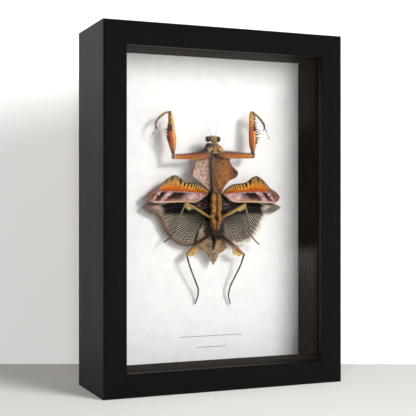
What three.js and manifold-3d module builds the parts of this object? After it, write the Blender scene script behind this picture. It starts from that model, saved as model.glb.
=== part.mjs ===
// A mantis specimen in a deep box frame. The mantis is set belly outwards, wings and legs spread,
// on two steel pins that stand in the white backing. Lengths are in millimetres.
// X runs to the right, Y from the front of the frame to its back, Z up. The origin is the centre
// of the frame's foot.
import * as THREE from "three";
import { mergeVertices } from "three/addons/utils/BufferGeometryUtils.js";
import Module from "manifold-3d";

const wasm = await Module();
wasm.setup();

// Driving dimensions of the frame
const FRAME = { width: 127, height: 178, depth: 44.5 };
const RAIL = { face: 11.5, wall: 8, lip: 2.5, edgeRound: 0.7 };
const MAT_DEPTH = 26.8; // from the frame's front face to the white backing
const FIT = 0.3; // play between neighbouring pieces
const MITRE_GAP = 0.1;

const GLASS_THICKNESS = 2;
const MAT_THICKNESS = 1.4;
const FOAM_THICKNESS = 8;
const BACK_THICKNESS = 2.5;

// Places that follow from them
const FRONT = -FRAME.depth / 2;
const MAT_FACE = FRONT + MAT_DEPTH;
const RABBET = { width: FRAME.width - 2 * RAIL.wall, height: FRAME.height - 2 * RAIL.wall };
const INSET = { width: RABBET.width - 2 * FIT, height: RABBET.height - 2 * FIT };
const MID_HEIGHT = FRAME.height / 2;

const finish = (color, roughness, metalness = 0) =>
  new THREE.MeshStandardMaterial({ color, roughness, metalness });

const MATERIAL = {
  wood: finish(0x23201d, 0.55),
  spacer: finish(0x2b2119, 0.7),
  glass: new THREE.MeshStandardMaterial({
    color: 0xf4faf8,
    roughness: 0.03,
    transparent: true,
    opacity: 0.12,
  }),
  mat: finish(0xf6f6f4, 0.9),
  foam: finish(0xf2f2ee, 0.8),
  back: finish(0x7a5d3f, 0.75),
  steel: finish(0xb9bcc0, 0.3, 1),
  brass: finish(0xb08d4a, 0.35, 1),
  head: finish(0xa87c48, 0.5),
  shield: finish(0x9a6640, 0.6),
  thorax: finish(0xb67a42, 0.5),
  abdomen: finish(0x8d6a4e, 0.65),
  foreWing: finish(0xc08060, 0.55),
  hindWing: finish(0x2b2623, 0.6),
  foreLeg: finish(0xb0571f, 0.45),
  leg: finish(0x9c8250, 0.55),
  antenna: finish(0xb5a98c, 0.6),
};

// Calls place(point) for every vertex and gives the geometry back as one shared-vertex shell,
// its faces turned outwards.
function reshape(geometry, place) {
  const bare = geometry.clone();
  bare.deleteAttribute("normal");
  bare.deleteAttribute("uv");
  const position = bare.getAttribute("position");
  const point = new THREE.Vector3();
  for (let i = 0; i < position.count; i++) {
    point.fromBufferAttribute(position, i);
    const moved = place(point) ?? point;
    position.setXYZ(i, moved.x, moved.y, moved.z);
  }
  const shell = mergeVertices(bare, 1e-4);
  if (signedVolume(shell) < 0) shell.index.array.reverse();
  return shell;
}

function signedVolume(geometry) {
  const position = geometry.getAttribute("position");
  const corners = [new THREE.Vector3(), new THREE.Vector3(), new THREE.Vector3()];
  let six = 0;
  for (let i = 0; i < geometry.index.count; i += 3) {
    corners.forEach((c, k) => c.fromBufferAttribute(position, geometry.index.getX(i + k)));
    six += corners[0].dot(corners[1].clone().cross(corners[2]));
  }
  return six / 6;
}

const keep = (geometry) => reshape(geometry, () => undefined);

function toSolid(geometry) {
  const shell = keep(geometry);
  return new wasm.Manifold(
    new wasm.Mesh({
      numProp: 3,
      vertProperties: Float32Array.from(shell.getAttribute("position").array),
      triVerts: Uint32Array.from(shell.index.array),
    }),
  );
}

function toGeometry(solid) {
  const { numProp, vertProperties, triVerts } = solid.getMesh();
  const position = [];
  for (let i = 0; i < vertProperties.length; i += numProp) {
    position.push(vertProperties[i], vertProperties[i + 1], vertProperties[i + 2]);
  }
  return new THREE.BufferGeometry()
    .setAttribute("position", new THREE.Float32BufferAttribute(position, 3))
    .setIndex(Array.from(triVerts));
}

const join = (...geometries) =>
  toGeometry(geometries.map(toSolid).reduce((whole, piece) => whole.add(piece)));

const cut = (geometry, ...tools) =>
  toGeometry(tools.map(toSolid).reduce((rest, tool) => rest.subtract(tool), toSolid(geometry)));

// The piece, cut back so that it keeps clear of its neighbours by the fit on every side. What the
// cut would leave loose is dropped.
function clearOf(geometry, ...neighbours) {
  const shifts = [1, -1].flatMap((s) => [
    [s * FIT, 0, 0],
    [0, s * FIT, 0],
    [0, 0, s * FIT],
  ]);
  const tools = neighbours.flatMap((n) => shifts.map((shift) => n.clone().translate(...shift)));
  const pieces = toSolid(cut(geometry, ...tools)).decompose();
  return toGeometry(pieces.reduce((most, p) => (p.volume() > most.volume() ? p : most)));
}

const box = (width, depth, height, x, y, z) =>
  keep(new THREE.BoxGeometry(width, depth, height).translate(x, y, z));

// Frame

// One rail: its section, a deep L with a front lip, run along the rail and mitred at both ends.
// Section x is the distance in from the frame's outer face, section y the depth.
function railSection() {
  const { face, wall, lip, edgeRound: r } = RAIL;
  const section = new THREE.Shape();
  section.moveTo(0, r);
  section.quadraticCurveTo(0, 0, r, 0);
  section.lineTo(face - r / 2, 0);
  section.quadraticCurveTo(face, 0, face, r / 2);
  section.lineTo(face, lip);
  section.lineTo(wall, lip);
  section.lineTo(wall, FRAME.depth);
  section.lineTo(r, FRAME.depth);
  section.quadraticCurveTo(0, FRAME.depth, 0, FRAME.depth - r);
  section.closePath();
  return section;
}

function rail(length, place) {
  const bar = new THREE.ExtrudeGeometry(railSection(), {
    depth: 1,
    steps: 1,
    bevelEnabled: false,
    curveSegments: 3,
  });
  return reshape(bar, ({ x: inwards, y: depth, z: end }) => {
    const along = (end - 0.5) * (length - 2 * inwards - MITRE_GAP);
    return place(inwards, FRONT + depth, along);
  });
}

const RAILS = {
  rail_left: rail(FRAME.height, (a, y, t) => ({ x: a - FRAME.width / 2, y, z: MID_HEIGHT + t })),
  rail_right: rail(FRAME.height, (a, y, t) => ({ x: FRAME.width / 2 - a, y, z: MID_HEIGHT + t })),
  rail_top: rail(FRAME.width, (a, y, t) => ({ x: t, y, z: FRAME.height - a })),
  rail_bottom: rail(FRAME.width, (a, y, t) => ({ x: t, y, z: a })),
};

// The pieces stacked in the rabbet, from the front lip to the back
const GLASS_FRONT = FRONT + RAIL.lip + FIT / 2;
const SPACER_FRONT = GLASS_FRONT + GLASS_THICKNESS + FIT;
const SPACER_BACK = MAT_FACE - FIT;
const FOAM_FRONT = MAT_FACE + MAT_THICKNESS + FIT;
const BACK_FRONT = FOAM_FRONT + FOAM_THICKNESS + FIT;
const BACK_FACE = BACK_FRONT + BACK_THICKNESS;

const board = (thickness, front) =>
  box(INSET.width, thickness, INSET.height, 0, front + thickness / 2, MID_HEIGHT);

const SPACER_THICKNESS = RAIL.face - RAIL.wall - 2 * FIT;
const SPACER_DEPTH = SPACER_BACK - SPACER_FRONT;
const SPACER_Y = (SPACER_FRONT + SPACER_BACK) / 2;

function spacer(side) {
  const fromEdge = RAIL.wall + FIT + SPACER_THICKNESS / 2;
  if (side === "top" || side === "bottom") {
    const z = side === "top" ? FRAME.height - fromEdge : fromEdge;
    return box(INSET.width, SPACER_DEPTH, SPACER_THICKNESS, 0, SPACER_Y, z);
  }
  const height = INSET.height - 2 * SPACER_THICKNESS - 2 * FIT;
  const x = (FRAME.width / 2 - fromEdge) * (side === "left" ? -1 : 1);
  return box(SPACER_THICKNESS, SPACER_DEPTH, height, x, SPACER_Y, MID_HEIGHT);
}

// Six spring-steel points hold the back panel. Each is pushed into a slot in its rail.
const POINT = { length: 12, width: 5, thickness: 0.6, inRail: 4 };
const POINT_Y = BACK_FACE + FIT + POINT.thickness / 2;
const POINTS = {
  point_left_upper: { rail: "rail_left", z: MID_HEIGHT + 45 },
  point_left_lower: { rail: "rail_left", z: MID_HEIGHT - 45 },
  point_right_upper: { rail: "rail_right", z: MID_HEIGHT + 45 },
  point_right_lower: { rail: "rail_right", z: MID_HEIGHT - 45 },
  point_top: { rail: "rail_top", x: -38 },
  point_bottom: { rail: "rail_bottom", x: 0 },
};

function pointBox({ rail: name, x = 0, z = 0 }, play) {
  const { length, width, thickness, inRail } = POINT;
  const reach = RAIL.wall - inRail + length / 2;
  const sizes = [length + 2 * play, thickness + 2 * play, width + 2 * play];
  if (name === "rail_left") return box(...sizes, reach - FRAME.width / 2, POINT_Y, z);
  if (name === "rail_right") return box(...sizes, FRAME.width / 2 - reach, POINT_Y, z);
  const height = name === "rail_top" ? FRAME.height - reach : reach;
  return box(sizes[2], sizes[1], sizes[0], x, POINT_Y, height);
}

for (const place of Object.values(POINTS)) {
  RAILS[place.rail] = cut(RAILS[place.rail], pointBox(place, FIT));
}

// A sawtooth hanger, nailed near the top of the back panel
const HANGER = { width: 44, height: 7, thickness: 0.9, teeth: 7, z: FRAME.height - 24 };
const NAIL = { head: 1.7, headHeight: 0.7, shank: 0.55, x: 18.5, length: 2 };
const HANGER_FRONT = BACK_FACE + FIT;

function hangerPlate() {
  const { width, height, thickness, teeth } = HANGER;
  const toothed = width * 0.6;
  const plate = new THREE.Shape();
  plate.moveTo(-width / 2, height / 2);
  plate.lineTo(-width / 2, -height / 2);
  plate.lineTo(-toothed / 2, -height / 2);
  for (let i = 0; i < teeth; i++) {
    const left = -toothed / 2 + (i * toothed) / teeth;
    plate.lineTo(left + toothed / teeth / 2, -height / 2 + 1.6);
    plate.lineTo(left + toothed / teeth, -height / 2);
  }
  plate.lineTo(width / 2, -height / 2);
  plate.lineTo(width / 2, height / 2);
  plate.closePath();
  const flat = new THREE.ExtrudeGeometry(plate, { depth: thickness, bevelEnabled: false });
  return reshape(flat, ({ x, y, z }) => ({ x, y: HANGER_FRONT + z, z: HANGER.z + y }));
}

// A nail whose head stands off the plate by half the fit, its shank in the back panel
function nail(x, play) {
  const headFrom = HANGER_FRONT + HANGER.thickness + FIT / 2;
  const profile = [
    [0, headFrom - NAIL.length - play],
    [NAIL.shank + play, headFrom - NAIL.length - play],
    [NAIL.shank + play, headFrom],
    [NAIL.head, headFrom],
    [NAIL.head * 0.7, headFrom + NAIL.headHeight],
    [0, headFrom + NAIL.headHeight],
  ];
  const turned = new THREE.LatheGeometry(
    profile.map(([r, y]) => new THREE.Vector2(r, y)),
    9,
  );
  return reshape(turned, (p) => p.setZ(p.z + HANGER.z).setX(p.x + x));
}

const NAIL_XS = { hanger_nail_left: -NAIL.x, hanger_nail_right: NAIL.x };
const nailTools = Object.values(NAIL_XS).map((x) => nail(x, FIT));

// Specimen
// Its points are [x, height above the white backing, z].

const at = ([x, height, z]) => new THREE.Vector3(x, MAT_FACE - height, z);

// Smooth value of an evenly spaced list at t from 0 to 1
function along(values, t) {
  const curve = new THREE.SplineCurve(values.map((v, i) => new THREE.Vector2(i, v)));
  return curve.getPoint(Math.min(1, Math.max(0, t))).y;
}

// Smooth value at x of a table of [x, value] rows, x rising or falling
function tableAt(rows, x) {
  const rising = rows[0][0] < rows[rows.length - 1][0];
  const ordered = rising ? rows : [...rows].reverse();
  const last = ordered.length - 1;
  const next = Math.min(last, Math.max(1, ordered.findIndex(([key]) => key >= x)));
  const i = x > ordered[last][0] ? last - 1 : next - 1;
  const [x0, v0] = ordered[i];
  const [x1, v1] = ordered[i + 1];
  const slope = (k) => {
    const [a, b] = [ordered[Math.max(0, k - 1)], ordered[Math.min(last, k + 1)]];
    return (b[1] - a[1]) / (b[0] - a[0]);
  };
  const t = Math.min(1, Math.max(0, (x - x0) / (x1 - x0)));
  const span = x1 - x0;
  const [t2, t3] = [t * t, t * t * t];
  return (
    (2 * t3 - 3 * t2 + 1) * v0 +
    (t3 - 2 * t2 + t) * span * slope(i) +
    (3 * t2 - 2 * t3) * v1 +
    (t3 - t2) * span * slope(i + 1)
  );
}

// A length of leg or body: a round bar, bent from one point to the other and swollen to its
// half widths (seen from the front) and half depths. Bow is how far its middle stands sideways.
function limb(from, to, widths, depths, { bow = 0, sides = 7, steps = 5 } = {}) {
  const [start, end] = [at(from), at(to)];
  const run = end.clone().sub(start);
  const across = run.clone().cross(new THREE.Vector3(0, 1, 0)).normalize();
  const outwards = across.clone().cross(run).normalize();
  const bar = new THREE.CylinderGeometry(1, 1, 1, sides, steps);
  return reshape(bar, ({ x, y, z }) => {
    const t = y + 0.5;
    return start
      .clone()
      .addScaledVector(run, t)
      .addScaledVector(across, bow * 4 * t * (1 - t) + x * along(widths, t))
      .addScaledVector(outwards, z * along(depths, t));
  });
}

// A thin sheet: place(u, v) gives the middle of the sheet, thickness(u, v) how thick it is there.
function sheet(cellsU, cellsV, place, thickness) {
  const slab = new THREE.BoxGeometry(1, 1, 1, cellsU, 1, cellsV);
  return reshape(slab, ({ x, y, z }) => {
    const [u, v] = [x + 0.5, z + 0.5];
    const [px, height, pz] = place(u, v);
    return at([px, height + y * thickness(u, v), pz]);
  });
}

const ball = ([x, height, z], halfX, halfDepth, halfZ, cells = 7) =>
  reshape(new THREE.SphereGeometry(1, cells, cells - 2), (p) => {
    const centre = at([x, height, z]);
    return p.set(p.x * halfX, p.y * halfDepth, p.z * halfZ).add(centre);
  });

// A spine: a slim four-sided cone from a point, in a direction given as [x, height, z]
function spine(root, direction, length, radius) {
  const way = new THREE.Vector3(direction[0], -direction[1], direction[2]).normalize();
  const turn = new THREE.Quaternion().setFromUnitVectors(new THREE.Vector3(0, 1, 0), way);
  const cone = new THREE.ConeGeometry(radius, length, 4).translate(0, length / 2 - radius, 0);
  return reshape(cone, (p) => p.applyQuaternion(turn).add(at(root)));
}

// The body's middle line leans a little to the right towards the tail.
const HEAD_Z = 124.6;
const LEAN = 0.026;
const axisX = (z) => 0.1 + (HEAD_Z - z) * LEAN;

// The leaf-shaped shield of the first body ring: rows of [z, left edge, right edge]
const SHIELD = {
  edges: [
    [97, -0.7, 5.2],
    [98.6, -2, 5.9],
    [100.6, -4.8, 6.8],
    [102.4, -7.4, 8.1],
    [103.8, -9.6, 9.6],
    [104.8, -11.4, 12],
    [106.4, -12.2, 13.6],
    [108.4, -12, 13.7],
    [110, -11.3, 12.8],
    [111.6, -10.7, 11.4],
    [113.4, -9.7, 10],
    [115, -9, 9.8],
    [116.4, -8, 8.4],
    [117.8, -6.4, 6.7],
    [119.6, -4.4, 5],
    [121.4, -3.1, 3.7],
    [122.6, -2.4, 3],
  ],
  baseHeight: 4.6,
  curl: 2.4,
  thickness: 0.55,
};

// The shield is a shallow bowl: its two lobes curl towards the viewer, most at their widest.
function shieldSheet() {
  const { edges, baseHeight, curl, thickness } = SHIELD;
  const [bottom, top] = [edges[0][0], edges[edges.length - 1][0]];
  const [lefts, rights] = [1, 2].map((k) => edges.map((row) => [row[0], row[k]]));
  const place = (u, v) => {
    const z = top + (bottom - top) * u;
    const [left, right] = [tableAt(lefts, z), tableAt(rights, z)];
    const spread = Math.sin(Math.PI * u ** 1.5);
    const height = baseHeight + curl * spread * Math.abs(2 * v - 1) ** 1.7;
    return [left + (right - left) * v, height, z];
  };
  return sheet(18, 8, place, () => thickness);
}

function prothorax() {
  const keel = limb(
    [0.6, 6.5, 118.2],
    [1.6, 6.4, SHIELD.edges[0][0] + 0.2],
    [1.9, 1.3, 0.95, 0.85, 0.9, 1.2, 1.8],
    [1.6, 1.6, 1.5, 1.4, 1.4, 1.5, 1.7],
    { steps: 8 },
  );
  return join(shieldSheet(), keel);
}

// The head: a flat-topped wedge that narrows to the mouth, with a bulging eye at each side
const HEAD = { halfTop: 2.9, halfMouth: 0.8, top: 126.7, mouth: 119.4, height: 7.4, depth: 1.7 };
const EYE = { out: 3.05, drop: 1.75, halfX: 1.4, halfDepth: 1.5, halfZ: 1.55 };

function head() {
  const { halfTop, halfMouth, top, mouth, height, depth } = HEAD;
  const middle = (top + mouth) / 2;
  const skull = reshape(new THREE.SphereGeometry(1, 12, 9), (p) => {
    const share = (p.z + 1) / 2;
    const half = halfMouth + (halfTop - halfMouth) * share ** 0.8;
    const squared = Math.sign(p.z) * Math.abs(p.z) ** 0.8;
    const x = axisX(middle) + Math.sign(p.x) * Math.abs(p.x) ** 0.85 * half * 1.15 + (1 - share) * 0.6;
    return at([x, height + p.y * depth, middle + squared * (top - middle)]);
  });
  const eyes = [-1, 1].map((side) =>
    ball(
      [axisX(HEAD_Z) + side * EYE.out, height, top - EYE.drop],
      EYE.halfX,
      EYE.halfDepth,
      EYE.halfZ,
      9,
    ),
  );
  return join(skull, ...eyes);
}

function antenna(side) {
  const root = [axisX(HEAD_Z) + side * 0.9, HEAD.height + 0.9, HEAD.top - 0.2];
  const tip = [axisX(HEAD_Z) + side * 5.2, HEAD.height - 1.5, HEAD.top + 9.6];
  return limb(root, tip, [0.2, 0.16, 0.12], [0.2, 0.16, 0.12], { bow: side * 0.7, sides: 5 });
}

// The second and third body rings in one: a core with two long lobes and two hip lobes below
const THORAX = { x: 1.25, top: 96.6, bottom: 77.4, height: 7, lobeOut: 1.75 };

function thorax() {
  const { x, top, bottom, height, lobeOut } = THORAX;
  const core = limb(
    [x - 0.1, height - 0.6, top],
    [x + 0.2, height - 0.6, bottom],
    [1.7, 2.7, 3.2, 3.4, 3.4, 3.5, 2.7, 1.4, 0.8],
    [1.4, 2.1, 2.4, 2.5, 2.5, 2.4, 2.0, 1.4, 0.9],
    { sides: 10, steps: 8 },
  );
  const lobes = [-1, 1].flatMap((side) => [
    limb(
      [x + side * 1.3, height + 0.5, top - 0.6],
      [x + side * lobeOut, height + 1.1, 84.6],
      [0.7, 1.4, 1.7, 1.6, 1.1],
      [0.8, 1.5, 1.8, 1.7, 1.1],
      { bow: side * -0.4 },
    ),
    limb(
      [x + side * 2.5, height + 0.6, 85.4],
      [x + side * 0.85, height + 0.8, 78.2],
      [0.9, 1.6, 1.5, 1.2, 0.6],
      [0.9, 1.6, 1.5, 1.3, 0.7],
    ),
  ]);
  return join(core, ...lobes);
}

// The leaf-shaped abdomen: rows of [z, left edge, right edge]
const ABDOMEN = {
  edges: [
    [82.6, -3.9, 6.2],
    [80.6, -5.4, 8.2],
    [78, -6.6, 9.3],
    [75.4, -7.6, 9.6],
    [73, -7.5, 9.1],
    [71, -6.6, 8.2],
    [69.6, -6.4, 8.4],
    [68.2, -4.9, 8.2],
    [66.8, -3.4, 5.8],
    [65.4, -2, 4.4],
    [63.8, -0.8, 3.6],
    [62.2, 0.5, 2.5],
    [60.8, 1.1, 1.9],
  ],
  height: 5.3,
  sheet: 0.5,
  belly: 1.7,
};

function abdomen() {
  const { edges, height, sheet: skin, belly } = ABDOMEN;
  const [top, bottom] = [edges[0][0], edges[edges.length - 1][0]];
  const column = (k) => edges.map((row) => [row[0], row[k]]);
  const [lefts, rights] = [column(1), column(2)];
  const zAt = (u) => top + (bottom - top) * u;
  const place = (u, v) => {
    const z = zAt(u);
    const [left, right] = [tableAt(lefts, z), tableAt(rights, z)];
    return [left + (right - left) * v, height - 1.1 * u * u - 0.5 * (2 * v - 1) ** 2, z];
  };
  const thickness = (u, v) => skin + belly * (1 - u) ** 0.5 * Math.max(0, 1 - (4 * v - 2) ** 2);
  return sheet(18, 8, place, thickness);
}

// Fore wing: rows of [distance from the wings' middle line, leading edge z, trailing edge z]
const WINGS_X = 1.8;
const FORE_WING = {
  chords: [
    [4.3, 98, 96.2],
    [6, 99.6, 95.2],
    [8.5, 101.2, 93.4],
    [11, 101.9, 92.4],
    [14.5, 102.2, 92.2],
    [17.5, 102.8, 92.3],
    [20, 104.4, 92.3],
    [22.5, 105.7, 92.2],
    [25, 105.6, 92.1],
    [28, 103.7, 92],
    [31, 101, 91.9],
    [33.5, 98.8, 92.1],
    [35.5, 97, 92.8],
    [36.8, 95.6, 93.9],
  ],
  height: 5.9,
  thickness: 0.45,
};

// The wing is cambered across, and its outer third bends back towards the mat.
function foreWing(side) {
  const { chords, height, thickness } = FORE_WING;
  const [root, tip] = [chords[0][0], chords[chords.length - 1][0]];
  const [leads, trails] = [1, 2].map((k) => chords.map((row) => [row[0], row[k]]));
  const place = (u, v) => {
    const out = root + (tip - root) * u;
    const [lead, trail] = [tableAt(leads, out), tableAt(trails, out)];
    const camber = 0.5 * Math.sin(Math.PI * v) - 0.9 * u ** 3;
    return [WINGS_X + side * out, height + camber, lead + (trail - lead) * v];
  };
  return sheet(18, 5, place, () => thickness);
}

// Hind wing: a fan about its root. Rows of [angle below the outward line in degrees, radius]
const HIND_WING = {
  root: [2.9, 91.6],
  rootRadius: 1.6,
  radii: [
    [-3.5, 25],
    [-1, 30.5],
    [1, 33.6],
    [2.8, 35.6],
    [5, 34.2],
    [8, 31.9],
    [11, 29.2],
    [15, 27.6],
    [24, 27.2],
    [36, 27],
    [47, 26.4],
    [57, 25.2],
    [65, 23.6],
    [72, 21.8],
    [78, 19.6],
    [84.5, 14],
  ],
  height: 3.9,
  pleats: 7,
  pleatDepth: 0.2,
  thickness: 0.42,
};

function hindWing(side) {
  const { root, rootRadius, radii, height, pleats, pleatDepth, thickness } = HIND_WING;
  const [first, last] = [radii[0][0], radii[radii.length - 1][0]];
  const place = (u, v) => {
    const angle = first + (last - first) * v;
    const radius = rootRadius + (tableAt(radii, angle) - rootRadius) * u;
    const turn = THREE.MathUtils.degToRad(angle);
    const pleat = pleatDepth * u * Math.cos(2 * Math.PI * pleats * v);
    const out = root[0] + radius * Math.cos(turn);
    return [WINGS_X + side * out, height - 0.7 * u * u + pleat, root[1] - radius * Math.sin(turn)];
  };
  return sheet(4, 28, place, () => thickness);
}

// Legs. Each side's joints are set as the specimen is spread; the shapes of the lengths between
// them are shared.
const FORE_LEG = {
  left: {
    hip: [-2, 8, 116.2],
    trochanter: [-21.1, 6.4, 115.1],
    tibiaJoint: [-23.3, 6.2, 137.7],
    hook: [-30.5, 5.8, 131.4],
    hookTip: [-29.2, 5.8, 128.5],
    toe: [-32.5, 4.2, 124.6],
  },
  right: {
    hip: [2.8, 8, 116.5],
    trochanter: [22.7, 6.4, 116.2],
    tibiaJoint: [22.1, 6.2, 139],
    hook: [29.7, 5.8, 132],
    hookTip: [28.4, 5.8, 129.4],
    toe: [33.2, 4.2, 125.4],
  },
};
const FEMUR_SPINES = { count: 10, from: 0.36, to: 0.9, length: 0.9, longest: 2.1, radius: 0.24 };
const COXA_TEETH = { count: 8, from: 0.28, to: 0.86, length: 0.75, radius: 0.26 };

const between = (a, b, t) => a.map((value, i) => value + (b[i] - value) * t);

function foreLeg(side) {
  const { hip, trochanter, tibiaJoint, hook, hookTip, toe } = FORE_LEG[side];
  const out = side === "left" ? -1 : 1;
  const femurWidths = [1.1, 1.6, 2.05, 2.3, 2.1, 1.6, 1.3, 1.0, 0.75];
  const lengths = [
    limb(hip, trochanter, [1.2, 1.6, 1.65, 1.5, 1.35, 1.2], [0.9, 1.15, 1.2, 1.1, 1, 1]),
    ball(trochanter, 1.5, 1.25, 1.4),
    limb(trochanter, tibiaJoint, femurWidths, [1, 1.2, 1.35, 1.4, 1.25, 1, 0.9, 0.8, 0.65], {
      steps: 9,
    }),
    limb(tibiaJoint, hook, [0.55, 0.65, 0.7, 0.6, 0.45], [0.5, 0.5, 0.5, 0.5, 0.4], {
      bow: out * 0.9,
      steps: 6,
    }),
    limb(hook, hookTip, [0.45, 0.35, 0.25, 0.15], [0.4, 0.3, 0.25, 0.15], {
      bow: out * 0.4,
      sides: 5,
      steps: 3,
    }),
    limb(between(hook, hookTip, 0.35), toe, [0.26, 0.22, 0.2], [0.26, 0.22, 0.2], {
      bow: out * 0.3,
      sides: 5,
      steps: 3,
    }),
  ];
  const { count, from, to, length, longest, radius } = FEMUR_SPINES;
  const spines = Array.from({ length: count }, (_, i) => {
    const t = from + ((to - from) * i) / (count - 1);
    const [x, h, z] = between(trochanter, tibiaJoint, t);
    const edge = out * (along(femurWidths, t) - 0.15);
    const reach = i === 3 ? longest : length + 0.35 * (i % 2);
    return spine([x + edge, h + 0.3, z], [out, 0.35, 0.25], reach, radius);
  });
  const teeth = Array.from({ length: COXA_TEETH.count }, (_, i) => {
    const t = COXA_TEETH.from + ((COXA_TEETH.to - COXA_TEETH.from) * i) / (COXA_TEETH.count - 1);
    const [x, h, z] = between(hip, trochanter, t);
    return spine([x, h + 0.2, z + 1.2], [out * 0.3, 0.2, 1], COXA_TEETH.length, COXA_TEETH.radius);
  });
  return join(...lengths, ...spines, ...teeth);
}

// A leaf-like lobe under the end of a thigh: a ragged half disc
function lobe([x, height, z], radius, lean) {
  const outline = new THREE.Shape();
  const points = 10;
  for (let i = 0; i <= points; i++) {
    const turn = (Math.PI * i) / points;
    const r = radius * (1 + 0.1 * Math.cos(5 * turn));
    outline[i ? "lineTo" : "moveTo"](r * Math.cos(turn), -0.8 * r * Math.sin(turn));
  }
  outline.closePath();
  const flat = new THREE.ExtrudeGeometry(outline, { depth: 0.45, bevelEnabled: false });
  const turned = flat.rotateZ(lean);
  return reshape(turned, (p) => at([x + p.x, height + p.z - 0.2, z + p.y]));
}

const WALKING_LEGS = {
  mid_leg_left: {
    hip: [-2.1, 8.2, 84.6],
    knee: [-15.1, 7.6, 92.1],
    ankle: [-21, 6.4, 77],
    toe: [-25.6, 4.6, 72.4],
    lobe: { place: [-13.2, 7.6, 90.9], radius: 2.6, lean: -0.5 },
    femur: 0.72,
  },
  mid_leg_right: {
    hip: [4.4, 8.2, 84.6],
    knee: [17.6, 7.6, 91.3],
    ankle: [20.9, 6.4, 76.2],
    toe: [27.1, 4.6, 70.4],
    lobe: { place: [15.2, 7.6, 90.1], radius: 2.5, lean: 0.45 },
    femur: 0.78,
  },
  hind_leg_left: {
    hip: [-0.2, 7, 77.3],
    knee: [-13.9, 5.6, 66.6],
    ankle: [-6.3, 3.2, 48],
    toe: [-7.4, 1.1, 40.2],
    lobe: { place: [-11, 5.6, 68.5], radius: 2.7, lean: 0.5 },
    femur: 0.8,
  },
  hind_leg_right: {
    hip: [3.2, 7, 76.9],
    knee: [18, 5.6, 65.4],
    ankle: [11.5, 3.2, 49.6],
    toe: [12.5, 1.1, 39.6],
    lobe: { place: [14.4, 5.6, 67.6], radius: 2.3, lean: -0.5 },
    femur: 0.85,
  },
};

function walkingLeg(name) {
  const { hip, knee, ankle, toe, lobe: leaf, femur } = WALKING_LEGS[name];
  const out = name.endsWith("left") ? -1 : 1;
  return join(
    limb(
      hip,
      knee,
      [femur * 0.9, femur, femur, femur * 0.85, femur * 0.75],
      [0.7, 0.7, 0.65, 0.6, 0.55],
      { steps: 3 },
    ),
    lobe(leaf.place, leaf.radius, leaf.lean),
    ball(knee, 0.65, 0.6, 0.65, 6),
    limb(knee, ankle, [0.42, 0.36, 0.34, 0.32], [0.42, 0.36, 0.34, 0.32], {
      bow: out * 0.6,
      sides: 5,
    }),
    limb(ankle, toe, [0.32, 0.26, 0.24, 0.22], [0.32, 0.26, 0.24, 0.22], {
      bow: out * -0.5,
      sides: 5,
      steps: 3,
    }),
  );
}

// Two steel pins stand in the foam and end inside the body.
const PIN = { radius: 0.35, inFoam: 6 };
const PINS = {
  pin_shield: { x: 1.1, z: 106, tip: 6.2 },
  pin_thorax: { x: 1.3, z: 89, tip: 6.6 },
};

function pin({ x, z, tip }, play) {
  const back = MAT_THICKNESS + FIT + PIN.inFoam + play;
  const length = back + tip + play;
  const bar = new THREE.CylinderGeometry(PIN.radius + play, PIN.radius + play, length, 10);
  return keep(bar.translate(x, MAT_FACE + back - length / 2, z));
}

const pinTools = Object.values(PINS).map((place) => pin(place, FIT));

// The body from front to back, then what grows from it
const headPiece = head();
const prothoraxPiece = cut(prothorax(), ...pinTools);
const thoraxPiece = cut(thorax(), ...pinTools);
const abdomenPiece = clearOf(abdomen(), thoraxPiece);
const bodyPieces = [headPiece, prothoraxPiece, thoraxPiece, abdomenPiece];

const nodes = new Map();
const add = (name, geometry, material) => nodes.set(name, { geometry, material });

for (const [name, geometry] of Object.entries(RAILS)) add(name, geometry, MATERIAL.wood);
add("glass_pane", board(GLASS_THICKNESS, GLASS_FRONT), MATERIAL.glass);
for (const side of ["left", "right", "top", "bottom"]) {
  add(`spacer_${side}`, spacer(side), MATERIAL.spacer);
}
add("mat_board", cut(board(MAT_THICKNESS, MAT_FACE), ...pinTools), MATERIAL.mat);
add("foam_board", cut(board(FOAM_THICKNESS, FOAM_FRONT), ...pinTools), MATERIAL.foam);
add("back_panel", cut(board(BACK_THICKNESS, BACK_FRONT), ...nailTools), MATERIAL.back);
for (const [name, place] of Object.entries(POINTS)) {
  add(name, pointBox(place, 0), MATERIAL.steel);
}
add("hanger", cut(hangerPlate(), ...nailTools), MATERIAL.brass);
for (const [name, x] of Object.entries(NAIL_XS)) add(name, nail(x, 0), MATERIAL.brass);
for (const [name, place] of Object.entries(PINS)) add(name, pin(place, 0), MATERIAL.steel);

add("head", clearOf(headPiece, prothoraxPiece), MATERIAL.head);
add("prothorax", prothoraxPiece, MATERIAL.shield);
add("thorax", clearOf(thoraxPiece, prothoraxPiece), MATERIAL.thorax);
add("abdomen", abdomenPiece, MATERIAL.abdomen);
for (const [name, side] of [["left", -1], ["right", 1]]) {
  const hind = clearOf(hindWing(side), thoraxPiece, abdomenPiece);
  const fore = clearOf(foreWing(side), thoraxPiece, prothoraxPiece, hind);
  add(`antenna_${name}`, clearOf(antenna(side), headPiece), MATERIAL.antenna);
  add(`fore_wing_${name}`, fore, MATERIAL.foreWing);
  add(`hind_wing_${name}`, hind, MATERIAL.hindWing);
  add(`fore_leg_${name}`, clearOf(foreLeg(name), ...bodyPieces), MATERIAL.foreLeg);
}
for (const name of Object.keys(WALKING_LEGS)) {
  add(name, clearOf(walkingLeg(name), ...bodyPieces), MATERIAL.leg);
}

const framedMantis = new THREE.Group();
for (const [name, { geometry, material }] of nodes) {
  const mesh = new THREE.Mesh(geometry, material);
  mesh.name = name;
  framedMantis.add(mesh);
}

export default framedMantis;
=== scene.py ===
# %% [markdown]
# # A mantis specimen in a deep box frame
# The real object is a dried dead-leaf mantis, belly outwards, pinned in a black-stained box frame
# with a glass front. The packed model gives every piece its size and place. This lesson keeps the
# frame's own solids and gives them finishes, and rebuilds the insect as fine meshes on its solids.

# %% Load the packed model
import math

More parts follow.
